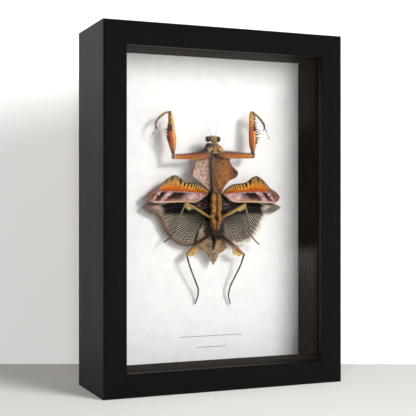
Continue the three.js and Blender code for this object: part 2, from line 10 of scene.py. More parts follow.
import bmesh
import bpy
import numpy as np
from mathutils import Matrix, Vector, noise


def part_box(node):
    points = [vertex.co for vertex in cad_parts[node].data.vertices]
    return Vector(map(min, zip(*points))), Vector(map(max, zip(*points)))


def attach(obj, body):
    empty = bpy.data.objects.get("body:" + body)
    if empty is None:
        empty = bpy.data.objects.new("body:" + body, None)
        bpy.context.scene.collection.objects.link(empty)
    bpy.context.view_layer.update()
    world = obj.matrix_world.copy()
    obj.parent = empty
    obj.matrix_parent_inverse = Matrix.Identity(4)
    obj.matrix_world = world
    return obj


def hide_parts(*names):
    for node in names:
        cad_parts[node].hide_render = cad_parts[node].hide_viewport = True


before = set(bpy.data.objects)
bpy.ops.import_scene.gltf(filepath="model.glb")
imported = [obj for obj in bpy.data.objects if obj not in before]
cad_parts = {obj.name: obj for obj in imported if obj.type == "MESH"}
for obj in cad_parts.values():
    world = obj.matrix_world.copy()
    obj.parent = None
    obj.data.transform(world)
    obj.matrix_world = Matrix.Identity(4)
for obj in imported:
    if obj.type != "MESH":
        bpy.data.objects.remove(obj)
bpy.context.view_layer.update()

MM = 0.001
MAT_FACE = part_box("mat_board")[0].y

# %% [markdown]
# ## Camera and backdrop
# The photo looks level at the frame from 22.5 degrees to its left. Its lens, distance and the
# point that it looks at were solved from the frame's corners, so the picture can be laid over the
# photo. The floor and the wall behind are plain and pale, and aren't part of the object. The wall
# is clear from behind, so that the back of the frame can be looked at too.

# %% Camera
IMAGE = 416             # pixels along each side of the picture
SENSOR = 36.0
FOCAL_PIXELS = 967.5    # the lens length, in pixels of the picture
VIEW_TURN = math.radians(22.55)
VIEW_DISTANCE = 469.6 * MM
AIM = Vector((-11.0 * MM, -22.6 * MM, 90.7 * MM))
HORIZON_ROW = 205.6     # the pixel row that lies level with the camera
view_way = Vector((math.sin(VIEW_TURN), math.cos(VIEW_TURN), 0))

camera_data = bpy.data.cameras.new("camera")
camera_data.sensor_width = SENSOR
camera_data.lens = FOCAL_PIXELS / IMAGE * SENSOR
camera_data.shift_y = (HORIZON_ROW - IMAGE / 2) / IMAGE
camera_data.clip_start = 0.01
camera = bpy.data.objects.new("camera", camera_data)
camera.location = AIM - view_way * VIEW_DISTANCE
camera.rotation_euler = view_way.to_track_quat("-Z", "Y").to_euler()
bpy.context.scene.collection.objects.link(camera)
bpy.context.scene.camera = camera
bpy.context.scene.view_settings.view_transform = "Standard"
print("lens", round(camera_data.lens, 1), "mm, camera at", [round(c / MM) for c in camera.location])

# %% [markdown]
# ## Helpers for node trees
# A material is a small network of nodes. Writing each node out by hand hides the idea, so this
# class gives the few that are needed short names. Colours are written as the hex codes that a
# colour picker shows, and turned into the linear values that Blender works with.


# %% A colour from its hex code
def tint(code):
    """A hex colour such as "c8481f" as a linear colour with alpha."""
    parts = [int(code[i:i + 2], 16) / 255 for i in (0, 2, 4)]
    return (*[c / 12.92 if c <= 0.04045 else ((c + 0.055) / 1.055) ** 2.4 for c in parts], 1.0)


print("the grey 808080 is", round(tint("808080")[0], 3), "in linear light")


# %% Short calls for nodes
class Nodes:
    """Short calls for building one node tree."""

    def __init__(self, tree):
        self.tree = tree

    def feed(self, socket, value):
        if isinstance(value, bpy.types.NodeSocket):
            self.tree.links.new(value, socket)
        else:
            socket.default_value = tint(value) if socket.type == "RGBA" else value

    def add(self, kind, inputs=None, **settings):
        node = self.tree.nodes.new(kind)
        for name, value in settings.items():
            setattr(node, name, value)
        for key, value in (inputs or {}).items():
            self.feed(node.inputs[key], value)
        return node

    def math(self, operation, *values, clamp=False):
        inputs = dict(enumerate(values))
        return self.add("ShaderNodeMath", inputs, operation=operation, use_clamp=clamp).outputs[0]

    def vector(self, operation, *values):
        inputs = dict(enumerate(values))
        return self.add("ShaderNodeVectorMath", inputs, operation=operation).outputs[0]

    def step(self, value, low, high):
        """0 below low, 1 above high, smooth between."""
        inputs = {"Value": value, "From Min": low, "From Max": high}
        node = self.add("ShaderNodeMapRange", inputs, interpolation_type="SMOOTHSTEP")
        return node.outputs["Result"]

    def band(self, value, low, high, soft):
        """1 between low and high, 0 outside, soft at both ends."""
        rise = self.step(value, low - soft, low + soft)
        fall = self.step(value, high - soft, high + soft)
        return self.math("SUBTRACT", rise, fall, clamp=True)

    def fall(self, value, low, high):
        """1 below low, 0 above high, smooth between."""
        return self.math("SUBTRACT", 1.0, self.step(value, low, high))

    def mix(self, factor, first, second, blend="MIX"):
        node = self.add("ShaderNodeMix", data_type="RGBA", blend_type=blend)
        for index, value in ((0, factor), (6, first), (7, second)):
            self.feed(node.inputs[index], value)
        return node.outputs[2]

    def paint(self, under, mask, share, over):
        """The under colour, with a share of the over colour laid on it where the mask is 1."""
        return self.mix(self.math("MULTIPLY", mask, share), under, over)

    def ramp(self, factor, stops):
        """A colour ramp from (place, hex colour) stops."""
        node = self.add("ShaderNodeValToRGB", {0: factor})
        elements = node.color_ramp.elements
        while len(elements) < len(stops):
            elements.new(0.5)
        for element, (place, code) in zip(elements, stops):
            element.position = place
            element.color = tint(code)
        return node.outputs["Color"]

    def noise(self, vector, scale, detail=3.0, distortion=0.0):
        inputs = {"Vector": vector, "Scale": scale, "Detail": detail, "Distortion": distortion}
        return self.add("ShaderNodeTexNoise", inputs).outputs["Fac"]

    def cracks(self, vector, scale):
        """Distance to the walls of random cells: 0 on a wall."""
        inputs = {"Vector": vector, "Scale": scale}
        node = self.add("ShaderNodeTexVoronoi", inputs, feature="DISTANCE_TO_EDGE")
        return node.outputs["Distance"]

    def place_mm(self):
        """Where the surface point is, in millimetres of the part's frame."""
        place = self.add("ShaderNodeTexCoord").outputs["Object"]
        return self.vector("MULTIPLY", place, (1 / MM, 1 / MM, 1 / MM))

    def attribute(self, name):
        return self.add("ShaderNodeAttribute", attribute_name=name).outputs["Fac"]

    def axes(self, vector):
        return self.add("ShaderNodeSeparateXYZ", {0: vector}).outputs

    def group(self, tree, **inputs):
        node = self.add("ShaderNodeGroup", node_tree=tree)
        for name, value in inputs.items():
            self.feed(node.inputs[name.replace("_", " ")], value)
        return node.outputs


print("a Nodes object has", len([n for n in vars(Nodes) if not n.startswith("_")]), "short calls")


# %% Materials, relief and node groups
def new_material(name, roughness=0.5, metallic=0.0, specular=0.5):
    """A material, its Nodes and its Principled shader."""
    made = bpy.data.materials.new(name)
    made.use_nodes = True
    shader = made.node_tree.nodes["Principled BSDF"]
    shader.inputs["Roughness"].default_value = roughness
    shader.inputs["Metallic"].default_value = metallic
    shader.inputs["Specular IOR Level"].default_value = specular
    return made, Nodes(made.node_tree), shader


def relief(nodes, shader, height, depth_mm):
    """Feeds a height pattern to the shader's normal."""
    bump = nodes.add("ShaderNodeBump", {"Height": height, "Distance": depth_mm * MM})
    nodes.feed(shader.inputs["Normal"], bump.outputs["Normal"])


def new_group(name, inputs, outputs):
    """A shader node group with named sockets, and its Nodes, input and output nodes."""
    tree = bpy.data.node_groups.new(name, "ShaderNodeTree")
    kinds = {"vector": "NodeSocketVector", "colour": "NodeSocketColor", "value": "NodeSocketFloat"}
    for label, kind in inputs.items():
        tree.interface.new_socket(label, in_out="INPUT", socket_type=kinds[kind])
    for label, kind in outputs.items():
        tree.interface.new_socket(label, in_out="OUTPUT", socket_type=kinds[kind])
    nodes = Nodes(tree)
    return nodes, nodes.add("NodeGroupInput").outputs, nodes.add("NodeGroupOutput").inputs


print("materials so far:", len(bpy.data.materials))

# %% [markdown]
# ## Effects that several finishes share
# Wood grain, paper tooth and dried insect shell each turn up on more than one piece, so each is a
# node group with its own inputs. A group gives out colours and heights only; the shader that
# uses them stays in the material.

# %% Wood grain
grain_nodes, given, out = new_group(
    "wood_grain",
    {"Vector": "vector", "Stretch": "vector"},
    {"Streak": "value", "Height": "value"},
)
drawn_out = grain_nodes.vector("MULTIPLY", given["Vector"], given["Stretch"])
broad = grain_nodes.noise(drawn_out, 0.35, 4.0, 0.6)
fine = grain_nodes.noise(drawn_out, 2.2, 5.0, 0.2)
pores = grain_nodes.step(grain_nodes.noise(drawn_out, 3.4, 2.0), 0.56, 0.68)
streak = grain_nodes.math("ADD", grain_nodes.math("MULTIPLY", broad, 0.5),
                          grain_nodes.math("MULTIPLY", fine, 0.5))
grain_nodes.feed(out["Streak"], streak)
grain_nodes.feed(out["Height"], grain_nodes.math("SUBTRACT", streak, pores))
WOOD_GRAIN = grain_nodes.tree
print("wood_grain has", len(WOOD_GRAIN.nodes), "nodes")

# %% Paper and board tooth
tooth_nodes, given, out = new_group(
    "paper_tooth",
    {"Vector": "vector", "Scale": "value"},
    {"Cloud": "value", "Height": "value"},
)
cloud = tooth_nodes.noise(given["Vector"], tooth_nodes.math("MULTIPLY", given["Scale"], 0.12), 3.0)
weave = tooth_nodes.noise(given["Vector"], given["Scale"], 4.0, 0.8)
tooth_nodes.feed(out["Cloud"], cloud)
tooth_nodes.feed(out["Height"], weave)
PAPER_TOOTH = tooth_nodes.tree
print("paper_tooth has", len(PAPER_TOOTH.nodes), "nodes")

# %% Dried insect shell
shell_nodes, given, out = new_group(
    "dried_shell",
    {"Vector": "vector", "Colour": "colour", "Blotch colour": "colour", "Crease colour": "colour",
     "Blotch size": "value", "Blotch share": "value"},
    {"Colour": "colour", "Height": "value", "Roughness": "value"},
)
blotch_scale = shell_nodes.math("DIVIDE", 1.0, given["Blotch size"])
blotch = shell_nodes.noise(given["Vector"], blotch_scale, 4.0, 0.7)
edge = shell_nodes.math("SUBTRACT", 1.0, given["Blotch share"])
blotch_mask = shell_nodes.step(blotch, shell_nodes.math("MULTIPLY", edge, 0.62),
                               shell_nodes.math("MULTIPLY", edge, 1.05))
creases = shell_nodes.cracks(given["Vector"], shell_nodes.math("MULTIPLY", blotch_scale, 2.2))
crease_mask = shell_nodes.fall(creases, 0.0, 0.16)
grit = shell_nodes.noise(given["Vector"], 7.0, 3.0)
colour = shell_nodes.mix(blotch_mask, given["Colour"], given["Blotch colour"])
# a crease colour paler than the shell paints highlights along the creases; a darker one is the creases' own
# colour
colour = shell_nodes.paint(colour, crease_mask, 0.45, given["Crease colour"])
shell_nodes.feed(out["Colour"], colour)
height = shell_nodes.math("ADD", shell_nodes.math("MULTIPLY", grit, 0.35),
                          shell_nodes.step(creases, 0.0, 0.3))
shell_nodes.feed(out["Height"], height)
shell_nodes.feed(out["Roughness"], shell_nodes.math("MULTIPLY_ADD", grit, 0.35, 0.3))
DRIED_SHELL = shell_nodes.tree
print("shared groups:", [g.name for g in bpy.data.node_groups])

# %% [markdown]
# ## The frame's finishes
# The rails are black-stained wood with a satin finish: almost no colour of its own, a fine
# open grain that runs along each rail, and enough sheen that a side seen at a flat angle turns
# grey. Upright and level rails need the same finish turned, so one function makes both.


# %% Stained wood, one for upright rails and one for level ones
def stained_wood(name, stretch):
    made, nodes, shader = new_material(name, roughness=0.5, specular=0.15)
    place = nodes.place_mm()
    grain = nodes.group(WOOD_GRAIN, Vector=place, Stretch=stretch)
    colour = nodes.ramp(grain["Streak"], [(0.3, "0b0a08"), (0.5, "11100d"), (0.72, "1c1915")])
    worn = nodes.step(nodes.noise(place, 0.05, 3.0), 0.5, 0.75)
    colour = nodes.paint(colour, worn, 0.3, "1a1713")
    nodes.feed(shader.inputs["Base Color"], colour)
    roughness = nodes.math("MULTIPLY_ADD", grain["Streak"], 0.3, 0.38)
    nodes.feed(shader.inputs["Roughness"], roughness)
    relief(nodes, shader, grain["Height"], 0.035)
    return made


def give(material, *names):
    """Puts a finish on CAD nodes, which stay as they are."""
    for name in names:
        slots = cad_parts[name].data.materials
        slots.clear()
        slots.append(material)
    print(material.name, "on", ", ".join(names))


give(stained_wood("stained_wood_upright", (1.0, 1.0, 0.03)), "rail_left", "rail_right")
give(stained_wood("stained_wood_level", (0.03, 1.0, 1.0)), "rail_top", "rail_bottom")

# %% [markdown]
# The inner walls are strips of dark board. The backing is white textured paper, with two short
# ruled lines low down on it. A mask for a line is a band in height times a band in width, both
# worked out from the place of the point, so the lines stay sharp at any size.


# %% Inner walls, backing and boards
def board_finish(name, colours, tooth, depth, roughness, specular=0.25):
    """Paper or board: two near colours in soft clouds, and a fibrous tooth."""
    made, nodes, shader = new_material(name, roughness=roughness, specular=specular)
    surface = nodes.group(PAPER_TOOTH, Vector=nodes.place_mm(), Scale=tooth)
    mottle = nodes.math("MULTIPLY_ADD", surface["Height"], 0.4,
                        nodes.math("MULTIPLY", surface["Cloud"], 0.6))
    colour = nodes.mix(nodes.step(mottle, 0.35, 0.65), *colours)
    relief(nodes, shader, surface["Height"], depth)
    nodes.feed(shader.inputs["Base Color"], colour)
    return made, nodes, shader, colour


spacer_board = board_finish("spacer_board", ("150e07", "271c10"), 3.0, 0.05, 0.8, specular=0.04)[0]
give(spacer_board, "spacer_left", "spacer_right", "spacer_top", "spacer_bottom")
give(board_finish("foam_core", ("efefea", "f6f5f1"), 1.5, 0.03, 0.8)[0], "foam_board")
give(board_finish("hardboard", ("6b4c2f", "8d6a45"), 2.2, 0.12, 0.75)[0], "back_panel")

mat_paper, nodes, shader, paper_colour = board_finish("mat_paper", ("f3f2f1", "f9f8f7"), 1.4, 0.09, 0.9)
RULED_LINES = ((2.0, 23.6, 17.5), (2.0, 17.9, 8.0))   # middle x, z and half length, in mm
LINE_HALF_WIDTH = 0.16
LINE_SOFTNESS = 0.05
x, _, z = nodes.axes(nodes.place_mm())
for middle, level, half_length in RULED_LINES:
    inside = nodes.math("MULTIPLY",
                        nodes.band(x, middle - half_length, middle + half_length, LINE_SOFTNESS),
                        nodes.band(z, level - LINE_HALF_WIDTH, level + LINE_HALF_WIDTH, LINE_SOFTNESS))
    paper_colour = nodes.mix(inside, paper_colour, "9a9a9a")
nodes.feed(shader.inputs["Base Color"], paper_colour)
give(mat_paper, "mat_board")

# %% [markdown]
# Picture glass hardly shows. It is a thin sheet of clear, low-reflection glass; for shadow rays
# it turns fully clear, because real thin glass lets the lamps through and a path tracer can't
# find them through refraction. Its index of refraction is less than real glass has, so that it
# mirrors as little. Faint smudges in its roughness keep it from being perfect.

# %% Glass
LOW_REFLECTION_IOR = 1.16
glass, nodes, shader = new_material("picture_glass", roughness=0.0)
shader.inputs["Base Color"].default_value = tint("ffffff")
shader.inputs["Transmission Weight"].default_value = 1.0
shader.inputs["IOR"].default_value = LOW_REFLECTION_IOR
smudge = nodes.step(nodes.noise(nodes.place_mm(), 0.04, 5.0, 1.2), 0.5, 0.8)
nodes.feed(shader.inputs["Roughness"], nodes.math("MULTIPLY", smudge, 0.012))
clear = nodes.add("ShaderNodeBsdfTransparent")
shadow = nodes.add("ShaderNodeLightPath").outputs["Is Shadow Ray"]
blend = nodes.add("ShaderNodeMixShader", {0: shadow, 1: shader.outputs[0], 2: clear.outputs[0]})
nodes.feed(nodes.tree.nodes["Material Output"].inputs["Surface"], blend.outputs[0])
give(glass, "glass_pane")


# %% [markdown]
# The points that hold the back panel and the specimen's pins are bright steel, and the sawtooth
# hanger and its nails are brassed. Both are worn sheet or wire, so one function makes both: fine
# lines along the metal, and stains in a duller second colour.


# %% Steel points and pins, brassed hanger and nails
def brushed_metal(name, colours, roughness):
    """Metal in two near colours, with fine lines that roughen it."""
    made, nodes, shader = new_material(name, roughness=roughness, metallic=1.0)
    place = nodes.place_mm()
    lines = nodes.noise(nodes.vector("MULTIPLY", place, (0.3, 6.0, 6.0)), 1.5, 3.0)
    stain = nodes.step(nodes.noise(place, 0.6, 4.0, 0.5), 0.55, 0.75)
    colour = nodes.mix(stain, *colours)
    nodes.feed(shader.inputs["Base Color"], colour)
    nodes.feed(shader.inputs["Roughness"], nodes.math("MULTIPLY_ADD", lines, 0.3, roughness - 0.1))
    relief(nodes, shader, lines, 0.01)
    return made


steel = brushed_metal("bright_steel", ("b9bcc0", "8f8f8c"), 0.32)
give(steel, *[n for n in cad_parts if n.startswith(("point_", "pin_"))])
give(brushed_metal("brassed_steel", ("c9a24e", "8a6a30"), 0.35), "hanger",
     "hanger_nail_left", "hanger_nail_right")

# %% [markdown]
# ## Helpers for the insect's meshes
# A point of the insect is written as [x, height above the backing, z] in millimetres, the way a
# person would measure it with a ruler laid on the backing. Two shapes cover nearly everything: a
# thin closed sheet for wings, shield and abdomen, and a round bar through a row of stations for
# limbs. Bars that grow into each other are fused by a voxel remesh, as one skin.


# %% Curves through measured points
def smooth(keys, values, t):
    """Values at t of a smooth curve through rising keys."""
    keys = np.asarray(keys, float)
    values = np.asarray(values, float)
    slopes = np.gradient(values, keys)
    i = np.clip(np.searchsorted(keys, t) - 1, 0, len(keys) - 2)
    span = keys[i + 1] - keys[i]
    s = np.clip((t - keys[i]) / span, 0, 1)
    return ((2 * s**3 - 3 * s**2 + 1) * values[i] + (s**3 - 2 * s**2 + s) * span * slopes[i]
            + (3 * s**2 - 2 * s**3) * values[i + 1] + (s**3 - s**2) * span * slopes[i + 1])


print("halfway between 1 and 4 on a smooth curve:", smooth([0, 1, 2], [0, 1, 4], 1.5).round(2))


# %% From measured points to a plain mesh
def in_frame(points):
    """[x, height, z] in millimetres to the part's frame in metres."""
    x, height, z = np.asarray(points, float).T
    return np.stack([x * MM, MAT_FACE - height * MM, z * MM], -1)


def mesh_object(name, points, faces, edges=()):
    mesh = bpy.data.meshes.new(name)
    mesh.from_pydata(in_frame(points).tolist(), list(edges), faces)
    made = bpy.data.objects.new(name, mesh)
    bpy.context.scene.collection.objects.link(made)
    return made


def face_outwards(piece):
    work = bmesh.new()
    work.from_mesh(piece.data)
    bmesh.ops.recalc_face_normals(work, faces=work.faces)
    work.to_mesh(piece.data)
    work.free()
    piece.data.shade_smooth()


def settled(piece):
    """The piece with its modifiers turned into a plain mesh."""
    view = bpy.context.evaluated_depsgraph_get()
    piece.data = bpy.data.meshes.new_from_object(piece.evaluated_get(view))
    piece.modifiers.clear()
    return piece


print("a point on the backing's middle lies at", in_frame([[0, 0, 89]])[0].round(4), "m")


# %% A thin closed sheet
def sheet(name, cells, middle, thickness, pattern):
    """middle(u, v) gives x, height, z; pattern(u, v) gives the two numbers that the finish reads."""
    rows, columns = cells
    u, v = np.meshgrid(np.linspace(0, 1, rows + 1), np.linspace(0, 1, columns + 1), indexing="ij")
    x, height, z = middle(u, v)
    half = thickness(u, v) / 2
    front = np.stack([x, height + half, z], -1).reshape(-1, 3)
    back = np.stack([x, height - half, z], -1).reshape(-1, 3)
    count = u.size
    index = np.arange(count).reshape(u.shape)
    quads = np.stack([index[:-1, :-1], index[1:, :-1], index[1:, 1:], index[:-1, 1:]], -1)
    quads = quads.reshape(-1, 4)
    rim = np.concatenate([index[:, 0], index[-1, 1:], index[-2::-1, -1], index[0, -2:0:-1]])
    following = np.roll(rim, -1)
    wall = np.stack([rim, following, following + count, rim + count], -1)
    faces = np.concatenate([quads, quads[:, ::-1] + count, wall]).tolist()
    made = mesh_object(name, np.concatenate([front, back]), faces)
    a, b = (np.broadcast_to(values, u.shape).ravel() for values in pattern(u, v))
    corners = np.array([loop.vertex_index for loop in made.data.loops]) % count
    layer = made.data.uv_layers.new(name="pattern")
    layer.data.foreach_set("uv", np.stack([a[corners], b[corners]], -1).astype(np.float32).ravel())
    face_outwards(made)
    print(name, len(made.data.polygons), "faces")
    return made


print("a sheet of 10 by 10 cells has", 2 * 10 * 10 + 4 * 10, "faces, front, back and rim")


# %% Round bars
def bar(stations, sides=16, steps=6):
    """A closed bar through stations [x, height, z, half width, half depth]."""
    stations = np.asarray(stations, float)
    keys = np.arange(len(stations))
    t = np.linspace(0, keys[-1], steps * keys[-1] + 1)
    x, height, z, wide, deep = (smooth(keys, stations[:, k], t) for k in range(5))
    centre = np.stack([x, height, z], -1)
    way = np.gradient(centre, axis=0)
    way /= np.linalg.norm(way, axis=1, keepdims=True)
    across = np.cross(way, [0, 1, 0])
    across /= np.linalg.norm(across, axis=1, keepdims=True)
    front = np.cross(across, way)
    turn = np.linspace(0, 2 * math.pi, sides, endpoint=False)
    ring = (across[:, None] * (np.cos(turn) * wide[:, None])[..., None]
            + front[:, None] * (np.sin(turn) * deep[:, None])[..., None])
    points = (centre[:, None] + ring).reshape(-1, 3)
    cap = np.minimum(wide, deep) * 0.5
    ends = np.stack([centre[0] - way[0] * cap[0], centre[-1] + way[-1] * cap[-1]])
    last = len(t) - 1
    faces = []
    for i in range(last):
        for k in range(sides):
            n = (k + 1) % sides
            faces.append([i * sides + k, i * sides + n, (i + 1) * sides + n, (i + 1) * sides + k])
    tip = len(points)
    faces += [[tip, (k + 1) % sides, k] for k in range(sides)]
    faces += [[tip + 1, last * sides + k, last * sides + (k + 1) % sides] for k in range(sides)]
    return np.concatenate([points, ends]), faces


short_bar = bar([[0, 0, 0, 1, 1], [0, 0, 2, 1, 1], [0, 0, 4, 1, 1]])
print("a bar through 3 stations has", len(short_bar[1]), "faces")


# %% Eggs
def egg(centre, half, rings=14, sides=20):
    """A closed egg about a centre, with half sizes along x, height and z."""
    lift = np.linspace(-1, 1, rings + 1)[1:-1] * math.pi / 2
    turn = np.linspace(0, 2 * math.pi, sides, endpoint=False)
    lift, turn = np.meshgrid(lift, turn, indexing="ij")
    ball = np.stack([np.cos(lift) * np.cos(turn), np.cos(lift) * np.sin(turn), np.sin(lift)], -1)
    points = np.concatenate([ball.reshape(-1, 3), [[0, 0, -1], [0, 0, 1]]])
    faces = []
    for i in range(rings - 2):
        for k in range(sides):
            n = (k + 1) % sides
            faces.append([i * sides + k, i * sides + n, (i + 1) * sides + n, (i + 1) * sides + k])
    low, high, top = len(points) - 2, len(points) - 1, (rings - 2) * sides
    faces += [[low, (k + 1) % sides, k] for k in range(sides)]
    faces += [[high, top + k, top + (k + 1) % sides] for k in range(sides)]
    return np.asarray(centre) + points * np.asarray(half), faces


print("one egg has", len(egg([0, 0, 0], [1, 1, 1])[1]), "faces before it is fused")


# %% Bars and eggs fused into one skin
def together(shells):
    points, faces = [], []
    for shell_points, shell_faces in shells:
        start = sum(len(p) for p in points)
        points.append(shell_points)
        faces += [[start + i for i in face] for face in shell_faces]
    return np.concatenate(points), faces


def fused(name, shells, voxel=0.12, rounds=3):
    """The shells as one skin, from a voxel remesh with cells of voxel millimetres."""
    piece = mesh_object(name, *together(shells))
    face_outwards(piece)
    remesh = piece.modifiers.new("fuse", "REMESH")
    remesh.mode = "VOXEL"
    remesh.voxel_size = voxel * MM
    soften = piece.modifiers.new("soften", "SMOOTH")
    soften.factor = 0.5
    soften.iterations = rounds
    settled(piece)
    piece.data.shade_smooth()
    print(name, len(piece.data.polygons), "faces")
    return piece


two_eggs = together([egg([0, 0, 0], [1, 1, 1]), egg([1, 0, 0], [1, 1, 1])])
print("two eggs together have", len(two_eggs[1]), "faces before they are fused")


# %% Wrinkles and leg measurements on a mesh
SEED_SHIFT = 7.3      # how far each seed moves the noise


def wrinkle(piece, depth, size, seed):
    """Moves the skin in and out by up to depth millimetres, in wrinkles of about size millimetres."""
    mesh = piece.data
    spots = np.empty(len(mesh.vertices) * 3, np.float32)
    mesh.vertices.foreach_get("co", spots)
    outwards = np.empty(len(mesh.vertices) * 3, np.float32)
    mesh.vertex_normals.foreach_get("vector", outwards)
    spots, outwards = spots.reshape(-1, 3), outwards.reshape(-1, 3)
    samples = spots / (size * MM) + seed * SEED_SHIFT
    push = np.array([noise.fractal(Vector(s), 0.8, 2.1, 3) for s in samples])
    moved = spots + outwards * (push * depth * MM)[:, None]
    mesh.vertices.foreach_set("co", moved.astype(np.float32).ravel())
    mesh.update()


def note_reach(piece, path, outer):
    """Writes on each point its distance along a leg's path, and how far it lies to the outer side."""
    spots = np.empty(len(piece.data.vertices) * 3, np.float32)
    piece.data.vertices.foreach_get("co", spots)
    spots = spots.reshape(-1, 3)[:, None] / MM
    line = in_frame(path) / MM
    start, run = line[:-1], np.diff(line, axis=0)
    length = np.linalg.norm(run, axis=1)
    share = np.clip(((spots - start) * run).sum(-1) / length**2, 0, 1)
    gap = np.linalg.norm(spots - start - share[..., None] * run, axis=-1)
    nearest = gap.argmin(1)
    pick = np.arange(len(spots)), nearest
    reach = (np.concatenate([[0], np.cumsum(length)])[:-1] + share * length)[pick]
    away = spots[:, 0] - start[nearest]
    side = (away[:, 0] * run[nearest, 2] - away[:, 2] * run[nearest, 0]) / length[nearest] * outer
    for label, values in (("reach", reach), ("side", side)):
        layer = piece.data.attributes.new(label, "FLOAT", "POINT")
        layer.data.foreach_set("value", values.astype(np.float32))


def dress(piece, material, slot, *nodes):
    """Gives a piece its finish and its place in the model."""
    piece.data.materials.clear()
    piece.data.materials.append(material)
    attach(piece, "root")
    if nodes:
        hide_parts(*nodes)
    return piece


sample = noise.fractal(Vector((0.3, 0.2, 0.1)), 0.8, 2.1, 3)
print("the noise that makes wrinkles is", round(sample, 3), "at one point")


# %% Dried shell as a finish of its own
def shell_finish(name, colour, blotch, crease_and_highlight, size, share=0.42, depth=0.08, roughness=0.45):
    """Dried shell in three colours, with blotches of size millimetres; a pale crease colour is a painted
    highlight.
    """
    made, nodes, shader = new_material(name, roughness=roughness, specular=0.45)
    shell = nodes.group(DRIED_SHELL, Vector=nodes.place_mm(), Colour=colour, Blotch_colour=blotch,
                        Crease_colour=crease_and_highlight, Blotch_size=size, Blotch_share=share)
    nodes.feed(shader.inputs["Base Color"], shell["Colour"])
    nodes.feed(shader.inputs["Roughness"], shell["Roughness"])
    relief(nodes, shader, shell["Height"], depth)
    return made, nodes, shader, shell["Colour"]


shell_sockets = [s.name for s in DRIED_SHELL.interface.items_tree if s.in_out == "INPUT"]
print("dried shell takes", ", ".join(shell_sockets))

# %% [markdown]
# ## Spines and veins by Geometry Nodes
# A grasping leg carries rows of spines, and a wing is stretched on a fan of veins. Both
# repeat along a line, which is what Geometry Nodes are good at. One tree stands a cone on every
# point it is given, turned the way that the point says. The other turns lines into ribs.


# %% What the two trees share
def new_growth(name, inputs):
    tree = bpy.data.node_groups.new(name, "GeometryNodeTree")
    tree.interface.new_socket("Geometry", in_out="OUTPUT", socket_type="NodeSocketGeometry")
    tree.interface.new_socket("Geometry", in_out="INPUT", socket_type="NodeSocketGeometry")
    for label, kind in inputs.items():
        tree.interface.new_socket(label, in_out="INPUT", socket_type=kind)
    nodes = Nodes(tree)
    return nodes, nodes.add("NodeGroupInput").outputs, nodes.add("NodeGroupOutput").inputs


def finish_growth(nodes, geometry, given, out):
    real = nodes.add("GeometryNodeRealizeInstances", {"Geometry": geometry}).outputs[0]
    soft = nodes.add("GeometryNodeSetShadeSmooth", {"Geometry": real}).outputs[0]
    painted = nodes.add("GeometryNodeSetMaterial", {"Geometry": soft, "Material": given["Material"]})
    nodes.feed(out["Geometry"], painted.outputs[0])


def named(nodes, label, kind):
    node = nodes.add("GeometryNodeInputNamedAttribute", {"Name": label}, data_type=kind)
    return node.outputs["Attribute"]


print("shader groups before the trees:", len(bpy.data.node_groups))

# %% A cone on every point
SPINE_TIP = 0.01 * MM
nodes, given, out = new_growth("spine_row", {
    "Base radius": "NodeSocketFloat", "Unevenness": "NodeSocketFloat", "Seed": "NodeSocketInt",
    "Material": "NodeSocketMaterial"})
cone = nodes.add("GeometryNodeMeshCone", {
    "Vertices": 7, "Side Segments": 3, "Radius Top": SPINE_TIP, "Radius Bottom": given["Base radius"],
    "Depth": MM})
uneven = nodes.add("FunctionNodeRandomValue", {"Seed": given["Seed"]}, data_type="FLOAT").outputs[1]
swing = nodes.math("MULTIPLY_ADD", uneven, given["Unevenness"], 1.0)
length = nodes.math("MULTIPLY", named(nodes, "size", "FLOAT"), swing)
stretch = nodes.add("ShaderNodeCombineXYZ", {"X": 1.0, "Y": 1.0, "Z": length})
turned = nodes.add("FunctionNodeAlignRotationToVector",
                   {"Vector": named(nodes, "aim", "FLOAT_VECTOR")}, axis="Z")
stood = nodes.add("GeometryNodeInstanceOnPoints", {
    "Points": given["Geometry"], "Instance": cone.outputs["Mesh"],
    "Rotation": turned.outputs[0], "Scale": stretch.outputs[0]})
finish_growth(nodes, stood.outputs[0], given, out)
SPINE_ROW = nodes.tree
print("spine_row has", len(SPINE_ROW.nodes), "nodes")

# %% A rib along every line
nodes, given, out = new_growth("vein_ribs", {
    "Thickness": "NodeSocketFloat", "Sides": "NodeSocketInt", "Material": "NodeSocketMaterial"})
curve = nodes.add("GeometryNodeMeshToCurve", {"Mesh": given["Geometry"]}).outputs[0]
radius = nodes.math("MULTIPLY", named(nodes, "size", "FLOAT"), given["Thickness"])
profile = nodes.add("GeometryNodeCurvePrimitiveCircle", {"Resolution": given["Sides"], "Radius": 1.0})
ribs = nodes.add("GeometryNodeCurveToMesh", {
    "Curve": curve, "Profile Curve": profile.outputs[0], "Scale": radius, "Fill Caps": True})
finish_growth(nodes, ribs.outputs[0], given, out)
VEIN_RIBS = nodes.tree
print("vein_ribs has", len(VEIN_RIBS.nodes), "nodes")


# %% Growing a tree on points or lines
def grown(name, tree, points, sizes, inputs, aims=None, edges=()):
    """Runs a tree on points in millimetres and keeps the result as a plain mesh."""
    piece = mesh_object(name, points, [], edges)
    layer = piece.data.attributes.new("size", "FLOAT", "POINT")
    layer.data.foreach_set("value", np.asarray(sizes, np.float32))
    if aims is not None:
        layer = piece.data.attributes.new("aim", "FLOAT_VECTOR", "POINT")
        ways = np.asarray(aims, np.float32) * (1, -1, 1)
        layer.data.foreach_set("vector", ways.astype(np.float32).ravel())
    growth = piece.modifiers.new("grow", "NODES")
    growth.node_group = tree
    for socket in tree.interface.items_tree:
        if socket.in_out == "INPUT" and socket.name in inputs:
            growth[socket.identifier] = inputs[socket.name]
    settled(piece)
    print(name, len(piece.data.polygons), "faces")
    return piece


def lines(strands):
    """Points and edges of several strands, each an array of points."""
    points, edges = [], []
    for strand in strands:
        start = sum(len(p) for p in points)
        points.append(np.asarray(strand, float))
        edges += [(start + i, start + i + 1) for i in range(len(strand) - 1)]
    return np.concatenate(points), edges


two_strands = lines([np.zeros((3, 3)), np.ones((3, 3))])
print("two strands of three points have", len(two_strands[1]), "edges")

